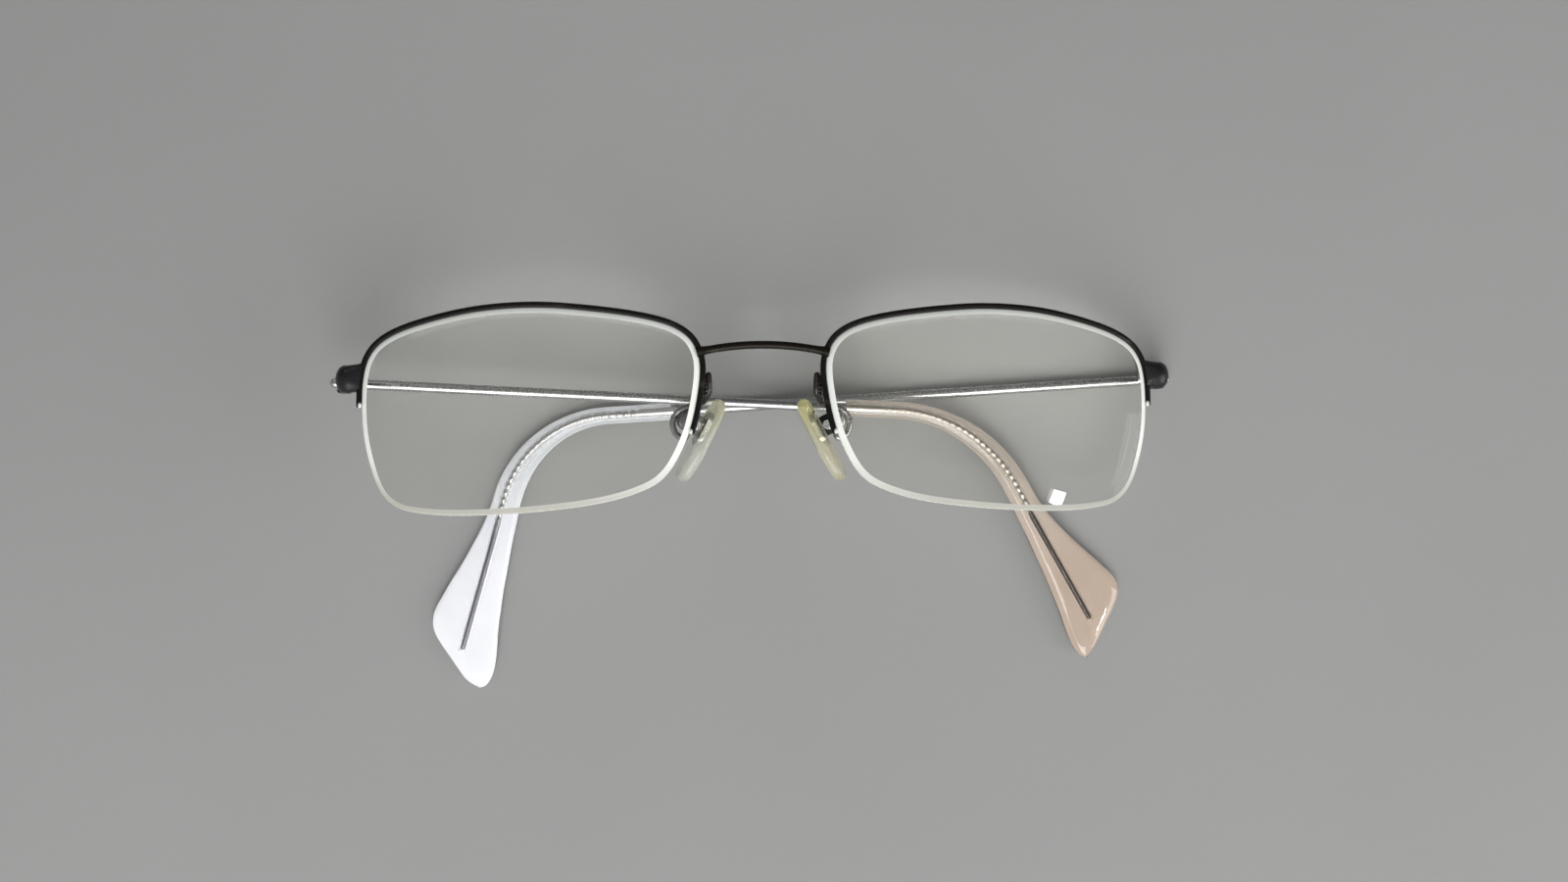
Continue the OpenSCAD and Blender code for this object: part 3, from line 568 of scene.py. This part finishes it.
# Place on the lens outline moved outwards, flat
def edgePoint(t, out):
    size = Vector((halfWidth, lens["height"] / 2))
    along = (outlinePoint(t + lens["feel"]) - outlinePoint(t - lens["feel"])) * size
    along.normalize()
    return outlinePoint(t) * size + Vector((-along.y, along.x)) * out


# Place on the lens's middle surface, or height in front of it
def onLens(flat, height=0.0):
    lift = sqrt(midRadius ** 2 - flat.x ** 2 - flat.y ** 2)
    middle = Vector((flat.x, flat.y, lift - lens["frontRadius"]))
    return middle + height * Vector((flat.x, flat.y, lift)).normalized()


# Body with curved faces, and its ground edge with the chamfers and the groove
def makeLens(side):
    places = spread(0, outlineCount, lens["perPoint"] * outlineCount)[:-1]
    half, groove = lens["thick"] / 2, lens["groove"]

    def faceRing(share, inset, height):
        return [onLens(edgePoint(t, -inset) * share, height) for t in places]
    rings = [faceRing(share, lens["frontSteps"][0][0], half) for share in lens["rings"]]
    rings += [faceRing(share, lens["backSteps"][-1][0], -half) for share in reversed(lens["rings"])]
    addPiece(sweep(rings), f"{side}_lens_body", eyeMatrix(side), clearLens, f"{side}_lens",
             sharp=30)
    wall = [(0, groove["half"] + groove["lip"]), (groove["lipRound"], groove["half"])]
    wall += [(groove["depth"] * a, groove["half"] * b) for a, b in groove["shares"]]
    profile = [(inset, half - drop) for inset, drop in lens["frontSteps"]] + wall
    profile += [(inset, -height) for inset, height in reversed(wall)]
    profile += [(inset, rise - half) for inset, rise in lens["backSteps"]]
    bm = sweep([faceRing(1, inset, height) for inset, height in profile], capped=False)
    addPiece(bm, f"{side}_lens_ground_edge", eyeMatrix(side), groundEdgeAndPaintedGlow, sharp=60)


# Half rim: a grooved wire along the outline, open under the lens
rim = {"width": 0.85, "depth": 1.9, "round": 0.34, "roundSteps": 5, "groove": 0.4, "grooveShare": 0.9,
       "lipBevel": 0.12, "noseEnd": -0.0674, "templeEnd": 0.463, "steps": 190, "endRoom": 0.06,
       "ends": [(0, 0.55), (0.006, 0.8), (0.014, 0.92), (0.024, 0.98), (0.036, 1)]}  # outline steps in, size
rimOut = seat + rim["width"]
rimStart, rimStop = rim["noseEnd"] * outlineCount, rim["templeEnd"] * outlineCount


def mirrored(points):
    return [(out, -height) for out, height in reversed(points)]


# Offsets from the lens edge and heights, with the groove on the lens side
def rimSection():
    half, lip, bevel, rounding = rim["depth"] / 2, lens["groove"]["half"], rim["lipBevel"], rim["round"]
    corner = [(rimOut - rounding + rounding * sin(a), half - rounding + rounding * cos(a))
              for a in spread(0, pi / 2, rim["roundSteps"])]
    wall = [(seat + bevel, -half), (seat, -half + bevel), (seat, -lip),
            (seat + rim["groove"], -lip * rim["grooveShare"])]
    return corner + mirrored(corner) + wall + mirrored(wall)


def makeHalfRim(side):
    section, middle = rimSection(), seat + rim["width"] / 2
    stations = [(rimStart + a, size) for a, size in rim["ends"]]
    stations += evenly(1, rimStart + rim["endRoom"], rimStop - rim["endRoom"], rim["steps"])
    stations += [(rimStop - a, size) for a, size in reversed(rim["ends"])]
    rings = [[onLens(edgePoint(t, middle + (out - middle) * size), height * size) for out, height in section]
             for t, size in stations]
    addPiece(sweep(rings), f"{side}_top_rim", eyeMatrix(side), blackLacquer,
             f"{side}_half_rim", sharp=45)


# Nylon cord under the lens, through the rim's ends, with a melted bead on each tail whose near-white also
# stands for a painted glint
cord = {"radius": 0.3, "tail": 0.25, "holeIn": 0.0087, "turnAt": (0.02, 0.07), "turnOut": 0.12,
        "plainFrom": 0.2, "steps": 150, "sides": 14}
bead = {"radius": 0.34, "shape": (0.85, 1.25, 0.8), "around": 24, "along": 16, "in": 0.05, "out": 0.2,
        "up": 0.88}


def makeCord(side):
    inside = cord["radius"] + seat - lens["groove"]["depth"]
    outside = rimOut + cord["tail"]
    start = rimStop - cord["holeIn"] * outlineCount
    stop = rimStart + cord["holeIn"] * outlineCount + outlineCount
    turn = [(0, outside), (0, rimOut), (cord["turnAt"][0], (inside + outside) / 2),
            (cord["turnAt"][1], inside + cord["turnOut"])]
    flat = [(start + a, out) for a, out in turn]
    flat += evenly(inside, start + cord["plainFrom"], stop - cord["plainFrom"], cord["steps"])
    flat += [(stop - a, out) for a, out in reversed(turn)]
    path = [onLens(edgePoint(t, out)) for t, out in flat]
    bm = sweep(tubeRings(path, [cord["radius"]] * len(path), cord["sides"]))
    addPiece(bm, f"{side}_nylon_cord", eyeMatrix(side), nylon, f"{side}_lens_cord")
    bm = bmesh.new()
    for t in (rimStop - bead["in"], rimStart + bead["in"]):
        addDrop(bm, onLens(edgePoint(t, bead["out"]), bead["up"]), bead)
    addPiece(bm, f"{side}_cord_beads_and_glint", eyeMatrix(side), meltedNylonAndGlint)


for side in sides:
    makeLens(side)
    makeHalfRim(side)
    makeCord(side)
print("lenses, rims and cords made")

# Bridge: a wire arch whose ends spread into the brazing on the rims
bridge = {"radius": 0.62, "height": 9.0, "rise": 1.25, "spread": 0.3, "spreadLength": 1.1, "sink": 0.4,
          "steps": 72, "sides": 28}


def makeBridge():
    half = lens["gap"] / 2 + rim["width"]
    radius = (half ** 2 + bridge["rise"] ** 2) / (2 * bridge["rise"])
    centre = bridge["height"] + bridge["rise"] - radius
    limit = asin((half - bridge["sink"]) / radius)
    path, radii = [], []
    for angle in spread(-limit, limit, bridge["steps"]):
        path.append(Vector((radius * sin(angle), centre + radius * cos(angle), 0)))
        reach = (limit - abs(angle)) * radius
        radii.append(bridge["radius"] + bridge["spread"] * exp(-(reach / bridge["spreadLength"]) ** 2))
    addPiece(sweep(tubeRings(path, radii, bridge["sides"])), "bridge_wire", frontMatrix(), bridgeLacquerAndPaintedReflection,
             "bridge")


makeBridge()

# End pieces: a strip from the rim, bent back to the hinge
lug = {"height": 4.6, "endHeight": 3.5, "thick": 1.4, "reach": 3.7, "middle": 5.6, "skew": 0.5, "corner": 2.2,
       "rootPower": 0.5, "endPower": 1.0, "sink": 0.35, "flare": 0.3, "flareLength": 0.4, "flareLow": 0.3,
       "bow": 0.12, "swell": 0.8, "crownSteps": 20, "backShares": (-0.5, 0, 0.5),
       "straightSteps": 9, "bendSteps": 12, "legSteps": 4, "rimSpan": (8.2, 11.6), "rimSteps": 60}
hinge = {"radius": 1.25, "height": 3.1, "heel": 2.3, "heelRoom": 0.15, "leafThick": 0.5, "leafWide": 1.4,
         "runGap": 0.04, "round": 0.1, "outerShare": 0.5, "overlap": 0.2,
         "forkRound": 0.5, "forkSides": 48, "knuckleRound": 0.08, "knuckleSides": 40}
wire = {"radius": 0.8, "bare": 79.8, "heelFrom": 0.15, "heelSteps": 8, "afterHeel": 0.3, "beforeEnd": 0.2,
        "steps": 40, "sides": 28, "ends": [(0.08, 0.03), (seat, 0.12)]}  # from the sleeve, off the radius
rimEdgeX = eyeX + (halfWidth + rimOut) * cos(wrap) - edgeDrop * sin(wrap)
rimEdgeZ = eyeZ - (halfWidth + rimOut) * sin(wrap) - edgeDrop * cos(wrap)
lugX = rimEdgeX + lug["reach"]
lugFront = rimEdgeZ + rim["depth"] / 2
leafBack = -front["hingeBack"] + hypot(hinge["heel"], wire["radius"]) + hinge["heelRoom"]
lugBack = leafBack + hinge["leafThick"] + seat


def lugLow(side):
    return lug["middle"] - lug["height"] / 2 + sides[side] * lug["skew"] / 2


# How far out the rim's outer edge is at this height, on the temple side
def rimSideX(rise):
    places = [edgePoint(t, rimOut) for t in spread(*lug["rimSpan"], lug["rimSteps"])]
    flat = min(places, key=lambda p: abs(p.y - rise))
    return eyeX + flat.x * cos(wrap) - edgeDrop * sin(wrap)


# Flat back from half to -half, its outer side crowned
def crownedSection(half, depth, power):
    outer = [(half * soft(cos(a), power), depth * (2 * soft(sin(a), power) - 1))
             for a in spread(0, pi, lug["crownSteps"])]
    return outer + [(half * share, -depth) for share in lug["backShares"]]


def makeLug(side):
    halfThick = lug["thick"] / 2
    bendX, bendZ = lugX - lug["corner"], lugFront - lug["corner"]
    midBend = lug["corner"] - halfThick
    low = lugLow(side)
    rings = []

    def ring(x, z, outward, bottom, top, power, rooted=0.0):
        places = []
        for a, b in crownedSection((top - bottom) / 2, halfThick, power):
            point = Vector((x, (bottom + top) / 2 + a, z)) + outward * b
            point.x = (1 - rooted) * point.x + rooted * (rimSideX(point.y) - lug["sink"])
            places.append(point)
        rings.append(places)
    straight = bendX - rimEdgeX
    swollen = lug["endHeight"] + lug["swell"]
    for share in spread(0, 1, lug["straightSteps"]):
        widening = lug["flare"] * exp(-(share * straight / lug["flareLength"]) ** 2)
        bottom = low - widening * lug["flareLow"] + lug["bow"] * sin(pi * share)
        top = low + lug["height"] + (swollen - lug["height"]) * share + widening
        power = lug["rootPower"] + (lug["endPower"] - lug["rootPower"]) * share
        ring(rimEdgeX + straight * share, lugFront - halfThick, Vector((0, 0, 1)), bottom, top, power,
             (1 - share) ** 2)
    for angle in spread(pi / 2, 0, lug["bendSteps"])[1:]:
        outward = Vector((cos(angle), 0, sin(angle)))
        ring(bendX + midBend * outward.x, bendZ + midBend * outward.z, outward, low, low + swollen,
             lug["endPower"])
    for share in spread(0, 1, lug["legSteps"])[1:]:
        ring(lugX - halfThick, bendZ + (lugBack - bendZ) * share, Vector((1, 0, 0)), low,
             low + swollen - lug["swell"] * share, lug["endPower"])
    addPiece(sweep(rings), f"{side}_end_piece", sideMatrix(side), lugLacquer,
             f"{side}_endpiece", sharp=60)


def slopeOf(side):
    return -asin(templeAxis(side).y)


# Half the room between the front's two knuckles, which the sloping heel swings through
knuckleGap = wire["radius"] + hinge["heel"] * sin(max(slopeOf(side) for side in sides)) + hinge["runGap"]


def makeHingeFork(side):
    rise, top, gap = lugLow(side) + lug["endHeight"] / 2, hinge["height"] / 2, knuckleGap
    wide, back = hinge["leafWide"] / 2, -front["hingeBack"]
    bm = bmesh.new()
    addBox(bm, (lugX - lug["thick"], rise - top, leafBack), (lugX, rise + top, leafBack + hinge["leafThick"]),
           hinge["round"])
    for low, high in ((-top, -gap), (gap, top)):
        addBox(bm, (lugX - wide, rise + low, back),
               (lugX + wide * hinge["outerShare"], rise + high, leafBack + hinge["overlap"]), hinge["round"])
        addBarrel(bm, hinge["radius"], rise + low, rise + high, hinge["forkRound"], hinge["forkSides"],
                  centre=(lugX, back), outer=rise + copysign(top, low))
    addPiece(bm, f"{side}_hinge_fork", sideMatrix(side), darkSteel, f"{side}_hinge_leaf")


for side in sides:
    makeLug(side)
    makeHingeFork(side)
print("bridge, end pieces and hinges made")

# Temples: a round wire from the hinge, thinner where it becomes the core of the tip
temples = {
    "right": {"bendStart": 88.2, "bendRadius": 23.6, "bendAngle": 57.8, "length": 143.1, "flare": 26.9,
              "rise": 7.0, "drop": 4.7},
    "left": {"bendStart": 90.9, "bendRadius": 18.8, "bendAngle": 70.5, "length": 145.3, "flare": 30.0,
             "rise": 6.2, "drop": 6.0}}
tip = {"thick": 2.8, "flareThick": 2.6, "least": 0.3, "sleeve": 1.45, "sides": 44, "endRound": 0.09,
       "endShare": 0.12, "flarePower": (0.55, 1.05), "sleevePower": (0.92, 0.92), "blendAfter": 1,
       "blendLength": 9, "mouthRound": 0.35, "mouthShare": 0.12, "mouthSteps": (0, 0.1, 0.2, 0.35),
       "holeSpare": 0.3, "holeFrom": 2, "holeSteps": 60, "sleeveFrom": 1, "sleeveSteps": 10, "bendSteps": 44,
       "flareSteps": 60, "endLength": 1.2, "endSteps": 12,
       "outer": [(0, -0.75), (0.02, -0.36), (0.065, -0.05), (0.12, 0.27), (0.165, 0.54), (0.215, 0.8),
                 (0.26, 0.94), (0.31, 1), (0.365, 0.985), (0.43, 0.91), (0.51, 0.81), (0.62, 0.655),
                 (0.75, 0.5), (0.87, 0.38), (1, 0.3)],
       "inner": [(0, 0.75), (0.02, 0.88), (0.06, 0.97), (0.12, 1), (0.22, 0.935), (0.32, 0.83),
                 (0.44, 0.735), (0.56, 0.657), (0.68, 0.6), (0.8, 0.54), (0.9, 0.505), (1, 0.47)]}
core = {"radius": 0.6, "short": 5.3, "overlap": 0.4, "round": 0.4, "roundSteps": 4, "sides": 18,
        "plainSteps": 12, "paddleSteps": 30}
teeth = {"from": 86.0, "to": 118.0, "pitch": 1.2, "depth": 0.2, "steps": 225, "room": 0.3}


# From a temple's own plane, sloped, to the frame: X runs out along the arm, Y is its top
def templeMatrix(side):
    along, slope, top = templeAxis(side), slopeOf(side), Vector((0, 1, 0))
    out = (along + sin(slope) * top) / cos(slope)
    up = out.cross(top) * -sides[side]
    turn = Matrix((out, top, up)).transposed().to_4x4()
    return (Matrix.Translation(hingePlace(side)) @ turn @ Matrix.Rotation(-slope, 4, "Z")
            @ Matrix.Scale(mm, 4))


# Place at length s along the temple, q to its outer side
def templePlace(shape, s, q, z):
    start, radius, angle = shape["bendStart"], shape["bendRadius"], radians(shape["bendAngle"])
    turn = 0 if s < start else min((s - start) / radius, angle)
    rest = max(s - start - radius * angle, 0)
    x = min(s, start) + radius * sin(turn) + rest * cos(turn)
    y = radius * (1 - cos(turn)) + rest * sin(turn)
    return Vector((x + q * sin(turn), -(y - q * cos(turn)), z))


# A section set across the temple, its middle to the outer side
def templeRing(shape, s, section, middle=0.0):
    return [templePlace(shape, s, middle + a, b) for a, b in section]


# Share of the flare's length left before the tip's end, over 1 in the sleeve
def toEnd(shape, s):
    return (shape["length"] - s) / shape["flare"]


# Outer and inner side of the tip, off the wire's middle
def tipEdges(shape, s):
    e, rise, drop = toEnd(shape, s), shape["rise"], shape["drop"]
    if e >= 1:
        share = max(s - shape["bendStart"], 0) / (shape["length"] - shape["flare"] - shape["bendStart"])
        share = share * share * (3 - 2 * share)
        return (tip["sleeve"] + (tip["outer"][-1][1] * rise - tip["sleeve"]) * share,
                -tip["sleeve"] - (tip["inner"][-1][1] * drop - tip["sleeve"]) * share)
    low = -smoothTable(tip["inner"], e) * drop
    return max(smoothTable(tip["outer"], e) * rise, low + tip["least"]), low


def tipRing(shape, s):
    e = toEnd(shape, s)
    high, low = tipEdges(shape, s)
    full = tip["thick"] / 2 if e >= 1 else tip["flareThick"] / 2 + (tip["thick"] - tip["flareThick"]) / 2 * e
    if e < tip["endRound"]:
        arch = sqrt(max(1 - (1 - e / tip["endRound"]) ** 2, 0))
        full *= tip["endShare"] + (1 - tip["endShare"]) * arch
    mouth = 1 - tip["mouthShare"] * max(0, 1 - (s - wire["bare"]) / tip["mouthRound"]) ** 2
    flared = (s - shape["length"] + shape["flare"] - tip["blendAfter"]) / tip["blendLength"]
    flared = min(max(flared, 0), 1)
    powers = [a + (b - a) * flared for a, b in zip(tip["sleevePower"], tip["flarePower"])]
    section = softSection(mouth * (high - low) / 2, mouth * full, powers, tip["sides"])
    return templeRing(shape, s, section, (high + low) / 2)


# Wire from the hinge to its tip, with a rounded heel and the knuckle that turns on the screw
def makeTempleWire(side):
    shape, radius, heel, end = temples[side], wire["radius"], -hinge["heel"], wire["bare"]
    stations = [(heel + radius * (1 - cos(a)), radius * sin(a))
                for a in spread(wire["heelFrom"], pi / 2, wire["heelSteps"])]
    stations += evenly(radius, heel + radius + wire["afterHeel"], end - wire["beforeEnd"], wire["steps"])
    stations += [(end - back, radius - less) for back, less in wire["ends"]]
    bm = sweep([templeRing(shape, s, circleSection(r, wire["sides"])) for s, r in stations])
    level = Matrix.Rotation(-slopeOf(side), 3, "Z")
    bmesh.ops.rotate(bm, cent=(0, 0, 0), matrix=level, verts=bm.verts)
    half = knuckleGap - hinge["runGap"]
    addBarrel(bm, hinge["radius"], -half, half, hinge["knuckleRound"], hinge["knuckleSides"])
    hingeMatrix = templeMatrix(side) @ Matrix.Rotation(slopeOf(side), 4, "Z")
    addPiece(bm, f"{side}_temple_wire", hingeMatrix, templeSteel, f"{side}_temple",
             body=f"{side}_temple_arm")


# Thinner end of the wire inside the tip, ringed with teeth that grip it
def makeCore(side):
    shape, radius, rounding = temples[side], core["radius"], core["round"]
    end = shape["length"] - core["short"]
    stations = evenly(radius, wire["bare"] - core["overlap"], teeth["from"], core["plainSteps"])[:-1]
    for s in spread(teeth["from"], teeth["to"], teeth["steps"]):
        phase = ((s - teeth["from"]) / teeth["pitch"]) % 1
        stations.append((s, radius - teeth["depth"] * abs(2 * phase - 1)))
    stations += evenly(radius, teeth["to"] + teeth["room"], end - rounding, core["paddleSteps"])
    stations += [(end - rounding + rounding * sin(a), radius * cos(a))
                 for a in spread(*endTurn, core["roundSteps"])]
    bm = sweep([templeRing(shape, s, circleSection(r, core["sides"])) for s, r in stations])
    addPiece(bm, f"{side}_temple_core", templeMatrix(side), coreMaterials[side],
             body=f"{side}_temple_arm", sharp=70)


# Clear sleeve whose skin runs up the hole for the core and back outside
def makeTip(side):
    shape, mouth = temples[side], wire["bare"]
    bend, length = shape["bendStart"], shape["length"]
    flare, last = length - shape["flare"], length - tip["endLength"]
    inmost = length - core["short"] + tip["holeSpare"]
    hole = [mouth] + spread(mouth + tip["holeFrom"], inmost, tip["holeSteps"])
    outside = [mouth + a for a in tip["mouthSteps"]]
    outside += spread(mouth + tip["sleeveFrom"], bend, tip["sleeveSteps"])
    outside += spread(bend, flare, tip["bendSteps"])[1:] + spread(flare, last, tip["flareSteps"])[1:]
    outside += [length - tip["endLength"] * (1 - sin(a))
                for a in spread(0, pi / 2, tip["endSteps"])[1:]]
    bore = circleSection(core["radius"] + seat, tip["sides"])
    rings = [templeRing(shape, s, bore) for s in reversed(hole)] + [tipRing(shape, s) for s in outside]
    addPiece(sweep(rings), f"{side}_tip_sleeve", templeMatrix(side), tipMaterials[side],
             f"{side}_temple_tip", body=f"{side}_temple_arm", sharp=70)


# Clouded middle layer that gives a clear tip its milky depth, seen from both faces
cloud = {"half": 0.22, "inset": 0.22, "from": 0.6, "short": 0.28, "least": 0.08, "powers": (0.7, 0.7),
         "sides": 20, "steps": 130, "endLength": 3, "endSteps": 16}


def makeTipCloud(side):
    shape, rings = temples[side], []
    last = shape["length"] - cloud["endLength"]
    stations = spread(wire["bare"] + cloud["from"], last, cloud["steps"])
    stations += spread(last, shape["length"] - cloud["short"], cloud["endSteps"])[1:]
    for s in stations:
        high, low = tipEdges(shape, s)
        half = max((high - low) / 2 - cloud["inset"], cloud["least"])
        section = softSection(half, cloud["half"], cloud["powers"], cloud["sides"])
        rings.append(templeRing(shape, s, section, (high + low) / 2))
    addPiece(sweep(rings), f"{side}_tip_cloud", templeMatrix(side), cloudMaterials[side],
             body=f"{side}_temple_arm", sharp=70)


for side in sides:
    makeTempleWire(side)
    makeCore(side)
    makeTip(side)
    makeTipCloud(side)
print("temples and tips made")

# Nose pads on their arms, in each pad's own frame: X away from the nose, Y up, Z to the front
pad = {"length": 14.4, "width": 6.8, "thick": 2.2, "x": 9.5, "drop": 4.5, "back": 5.4, "tilt": 27.5,
       "splay": 15.0, "powers": (0.9, 0.9), "sides": 56, "lugUp": 1.8, "rockX": 2.3, "rock": 8.0,
       "crown": [(-0.5, 1.6), (-0.495, 1.2), (-0.47, 0.72), (-0.42, 0.42), (-0.33, 0.2), (-0.15, 0.04),
                 (0.1, 0), (0.3, 0.06), (0.42, 0.17), (0.48, 0.33), (0.5, 0.55)]}  # share of thick, inset
box = {"wall": 0.5, "halfHeight": 1.6, "sideWall": 0.4, "tabHalf": 0.55, "tabRadius": 1.0, "room": 0.1,
       "round": 0.18, "roundSteps": 4}
cupBackAndShade = {"radius": 1.5, "thickShare": 1.6, "sinkShare": 0.6, "drop": 0.1, "round": 0.25, "sides": 40}
arm = {"radius": 0.5, "startY": 5.6, "front": -0.7, "foot": 1.0, "endGap": 0.08, "startSteps": 5,
       "perPoint": 12, "sides": 20, "down": [(-0.05, -1.4, -0.05), (0.05, -2.8, -0.5), (1, -4.1, -2.2)],
       "loop": [(11.2, 0.9, -4.3), (13.2, 0, -5), (14, -1.6, -5.1), (13.5, -3.4, -5)]}
brazing = {"radius": 0.42, "shape": (0.9, 1.2, 0.9), "around": 16, "along": 10, "outShare": 0.8, "back": 0.1,
           "below": (0.5, 1.1, 1.7, 2.3, 2.9)}
boxHalf = box["tabHalf"] + hinge["runGap"] + box["wall"]
boxFront = pad["thick"] / 2 + box["halfHeight"] * sin(radians(pad["rock"])) + box["room"]
boxBack = pad["rockX"] + box["tabRadius"] + box["room"] + box["wall"]
padTurn = (Matrix.Translation((pad["x"], -pad["drop"], -pad["back"]))
           @ Matrix.Rotation(radians(pad["tilt"]), 4, "Z") @ Matrix.Rotation(radians(-pad["splay"]), 4, "Y"))


def padMatrix(side):
    return sideMatrix(side) @ padTurn


def makePad(side):
    rings = []
    for share, inset in pad["crown"]:
        high, wide = (pad[size] / 2 - inset * pad["thick"] for size in ("length", "width"))
        section = softSection(high, wide, pad["powers"], pad["sides"])
        rings.append([Vector((share * pad["thick"], a, b)) for a, b in section])
    addPiece(sweep(rings), f"{side}_soft_pad", padMatrix(side), padMaterials[side],
             f"{side}_nose_pad", body=f"{side}_pad")


# Open box that holds the pad's lug, pressed from sheet, with a round back that is also a dark disc standing
# in for painted shade
def makePadBox(side):
    bm = bmesh.new()
    addBox(bm, (boxFront, pad["lugUp"] - box["halfHeight"], -boxHalf),
           (boxBack, pad["lugUp"] + box["halfHeight"], boxHalf), box["round"], box["roundSteps"])
    mouth = min(bm.faces, key=lambda f: f.calc_center_median().x)
    bmesh.ops.inset_individual(bm, faces=[mouth], thickness=box["sideWall"] - box["round"])
    inner = bmesh.ops.extrude_discrete_faces(bm, faces=[mouth])["faces"][0]
    bmesh.ops.translate(bm, vec=(boxBack - boxFront - box["wall"], 0, 0), verts=inner.verts)
    addPiece(bm, f"{side}_pad_cup", padMatrix(side), boxLitAndShadedMaterials[side], f"{side}_pad_box")
    bm = bmesh.new()
    addCylinder(bm, cupBackAndShade["radius"], boxHalf * cupBackAndShade["thickShare"], cupBackAndShade["sides"])
    roundEdges(bm, levelEdges(bm.edges, 2), cupBackAndShade["round"])
    place = (boxBack - box["wall"] * cupBackAndShade["sinkShare"], pad["lugUp"] - cupBackAndShade["drop"], 0)
    bmesh.ops.translate(bm, vec=place, verts=bm.verts)
    addPiece(bm, f"{side}_cup_back_and_painted_shade", padMatrix(side), backLitAndShadedMaterials[side])


# Wire brazed beside the rim, looped back under the box that it carries
def makePadArm(side):
    start = Vector((lens["gap"] / 2 - rimOut - arm["radius"] - seat, arm["startY"], arm["front"]))
    foot = Vector(((boxFront + boxBack) / 2, pad["lugUp"] - box["halfHeight"] - arm["endGap"], 0))
    points = [start] + [start + Vector(p) for p in arm["down"]] + [Vector(p) for p in arm["loop"]]
    points += [padTurn @ (foot - Vector((0, arm["foot"], 0))), padTurn @ foot]
    last = len(points) - 1
    path = [routePoint(points, t) for t in spread(0, last, arm["perPoint"] * last)]
    path, radii = roundStart(path, arm["radius"], arm["startSteps"])
    bm = sweep(tubeRings(path, radii, arm["sides"]))
    for below in brazing["below"]:
        addDrop(bm, start + Vector((arm["radius"] * brazing["outShare"], -below, -brazing["back"])), brazing)
    addPiece(bm, f"{side}_arm_wire", sideMatrix(side), armLacquer, f"{side}_pad_arm")


padLow, padHigh = (corner[1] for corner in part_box("left_nose_pad"))
clearShare = 0.45  # of the pad's height
agedFrom = padLow + clearShare * (padHigh - padLow)
padTones = {"right": {"clear": (0.84, 0.85, 0.8), "aged": (0.98, 0.96, 0.74)},
            "left": {"clear": (0.86, 0.83, 0.67), "aged": (0.98, 0.94, 0.5)}}
padMaterials = {side: padMaterial(f"{side}PadSilicone", agedFrom, padHigh, **tones)
                for side, tones in padTones.items()}
# Lit and shaded copies of one pad box: grey steel on the right side stands for a painted reflection of the
# window, black lacquer on the left for painted shade
boxLitAndShadedMaterials = {"right": greySteel, "left": blackLacquer}
# Round backs per side: dark grey steel on the right side as painted shade, lighter bare steel on the left
backLitAndShadedMaterials = {"right": greySteel, "left": bareSteel}
for side in sides:
    makePad(side)
    makePadBox(side)
    makePadArm(side)
print("pads and arms made")

# CAD nodes whose shape stays as it is
keptMaterials = {"rim_liner": nylon, "hinge_screw": screwSteel, "pad_screw": screwSteel, "pad_lug": bareSteel}
for label, material in keptMaterials.items():
    for side in sides:
        for place in frame["nodes"][f"{side}_{label}"].material_slots:
            place.material = material
print("kept pieces painted")


def addCamera():
    data = bpy.data.cameras.new("photoCamera")
    data.lens = photo["focal"]
    data.sensor_width = photo["sensor"]
    data.clip_start = photo["nearest"] * mm
    camera = addObject("photoCamera", data)
    hinges = (hingePlace("right") + hingePlace("left")) / 2
    camera.location = (photo["x"] * mm, hinges.y + photo["aboveHinges"] * mm, photo["height"] * mm)
    camera.rotation_euler = (0, 0, radians(photo["roll"]))
    scene.camera = camera


floorPaper = {"half": 2.0, "pale": (0.36, 0.36, 0.352), "shade": (0.315, 0.315, 0.307)}


def addFloor():
    material = finishMaterial("floorPaper", floorPaper["pale"], floorPaper["shade"], rough=(0.8, 0.95),
                              broad=6, fine=900, vary=0.5)[0]
    bm = bmesh.new()
    bmesh.ops.create_grid(bm, x_segments=1, y_segments=1, size=floorPaper["half"])
    addMesh(bm, "floor", material)


lights = {"window": {"place": (0.02, -0.53, 0.53), "size": 0.62, "power": 4.9},
          "side": {"place": (0.76, -0.24, 0.33), "size": 0.5, "power": 2.0},
          "back": {"place": (-0.35, 0.75, 0.5), "size": 0.4, "power": 0.4},
          "glint": {"place": (0.5, -0.172, 0.594), "size": 0.033, "power": 0.27}}
sky = {"light": (0.86, 0.88, 0.9, 1), "dark": (0.2, 0.2, 0.2, 1), "lightTo": -0.5, "darkFrom": 0.6,
       "strength": 0.54}


def addLights():
    for name, light in lights.items():
        data = bpy.data.lights.new(name, "AREA")
        data.size = light["size"]
        data.energy = light["power"]
        lamp = addObject(name, data)
        lamp.location = light["place"]
        lamp.rotation_euler = Vector(light["place"]).to_track_quat("Z", "Y").to_euler()
        lamp.visible_diffuse = name != "glint"
    world = bpy.data.worlds.new("studio")
    world.use_nodes = True
    tree = world.node_tree
    height = addNode(tree, "SeparateXYZ", {"Vector": addNode(tree, "TexCoord", {})["Generated"]})["Y"]
    darker = mapRange(tree, height, sky["lightTo"], sky["darkFrom"])
    colour = mixColour(tree, darker, sky["light"], sky["dark"])
    feed(tree.nodes["Background"], {"Color": colour, "Strength": sky["strength"]})
    scene.world = world


addCamera()
addFloor()
addLights()
scene.view_settings.view_transform = "Standard"
print("camera, floor and lights placed")
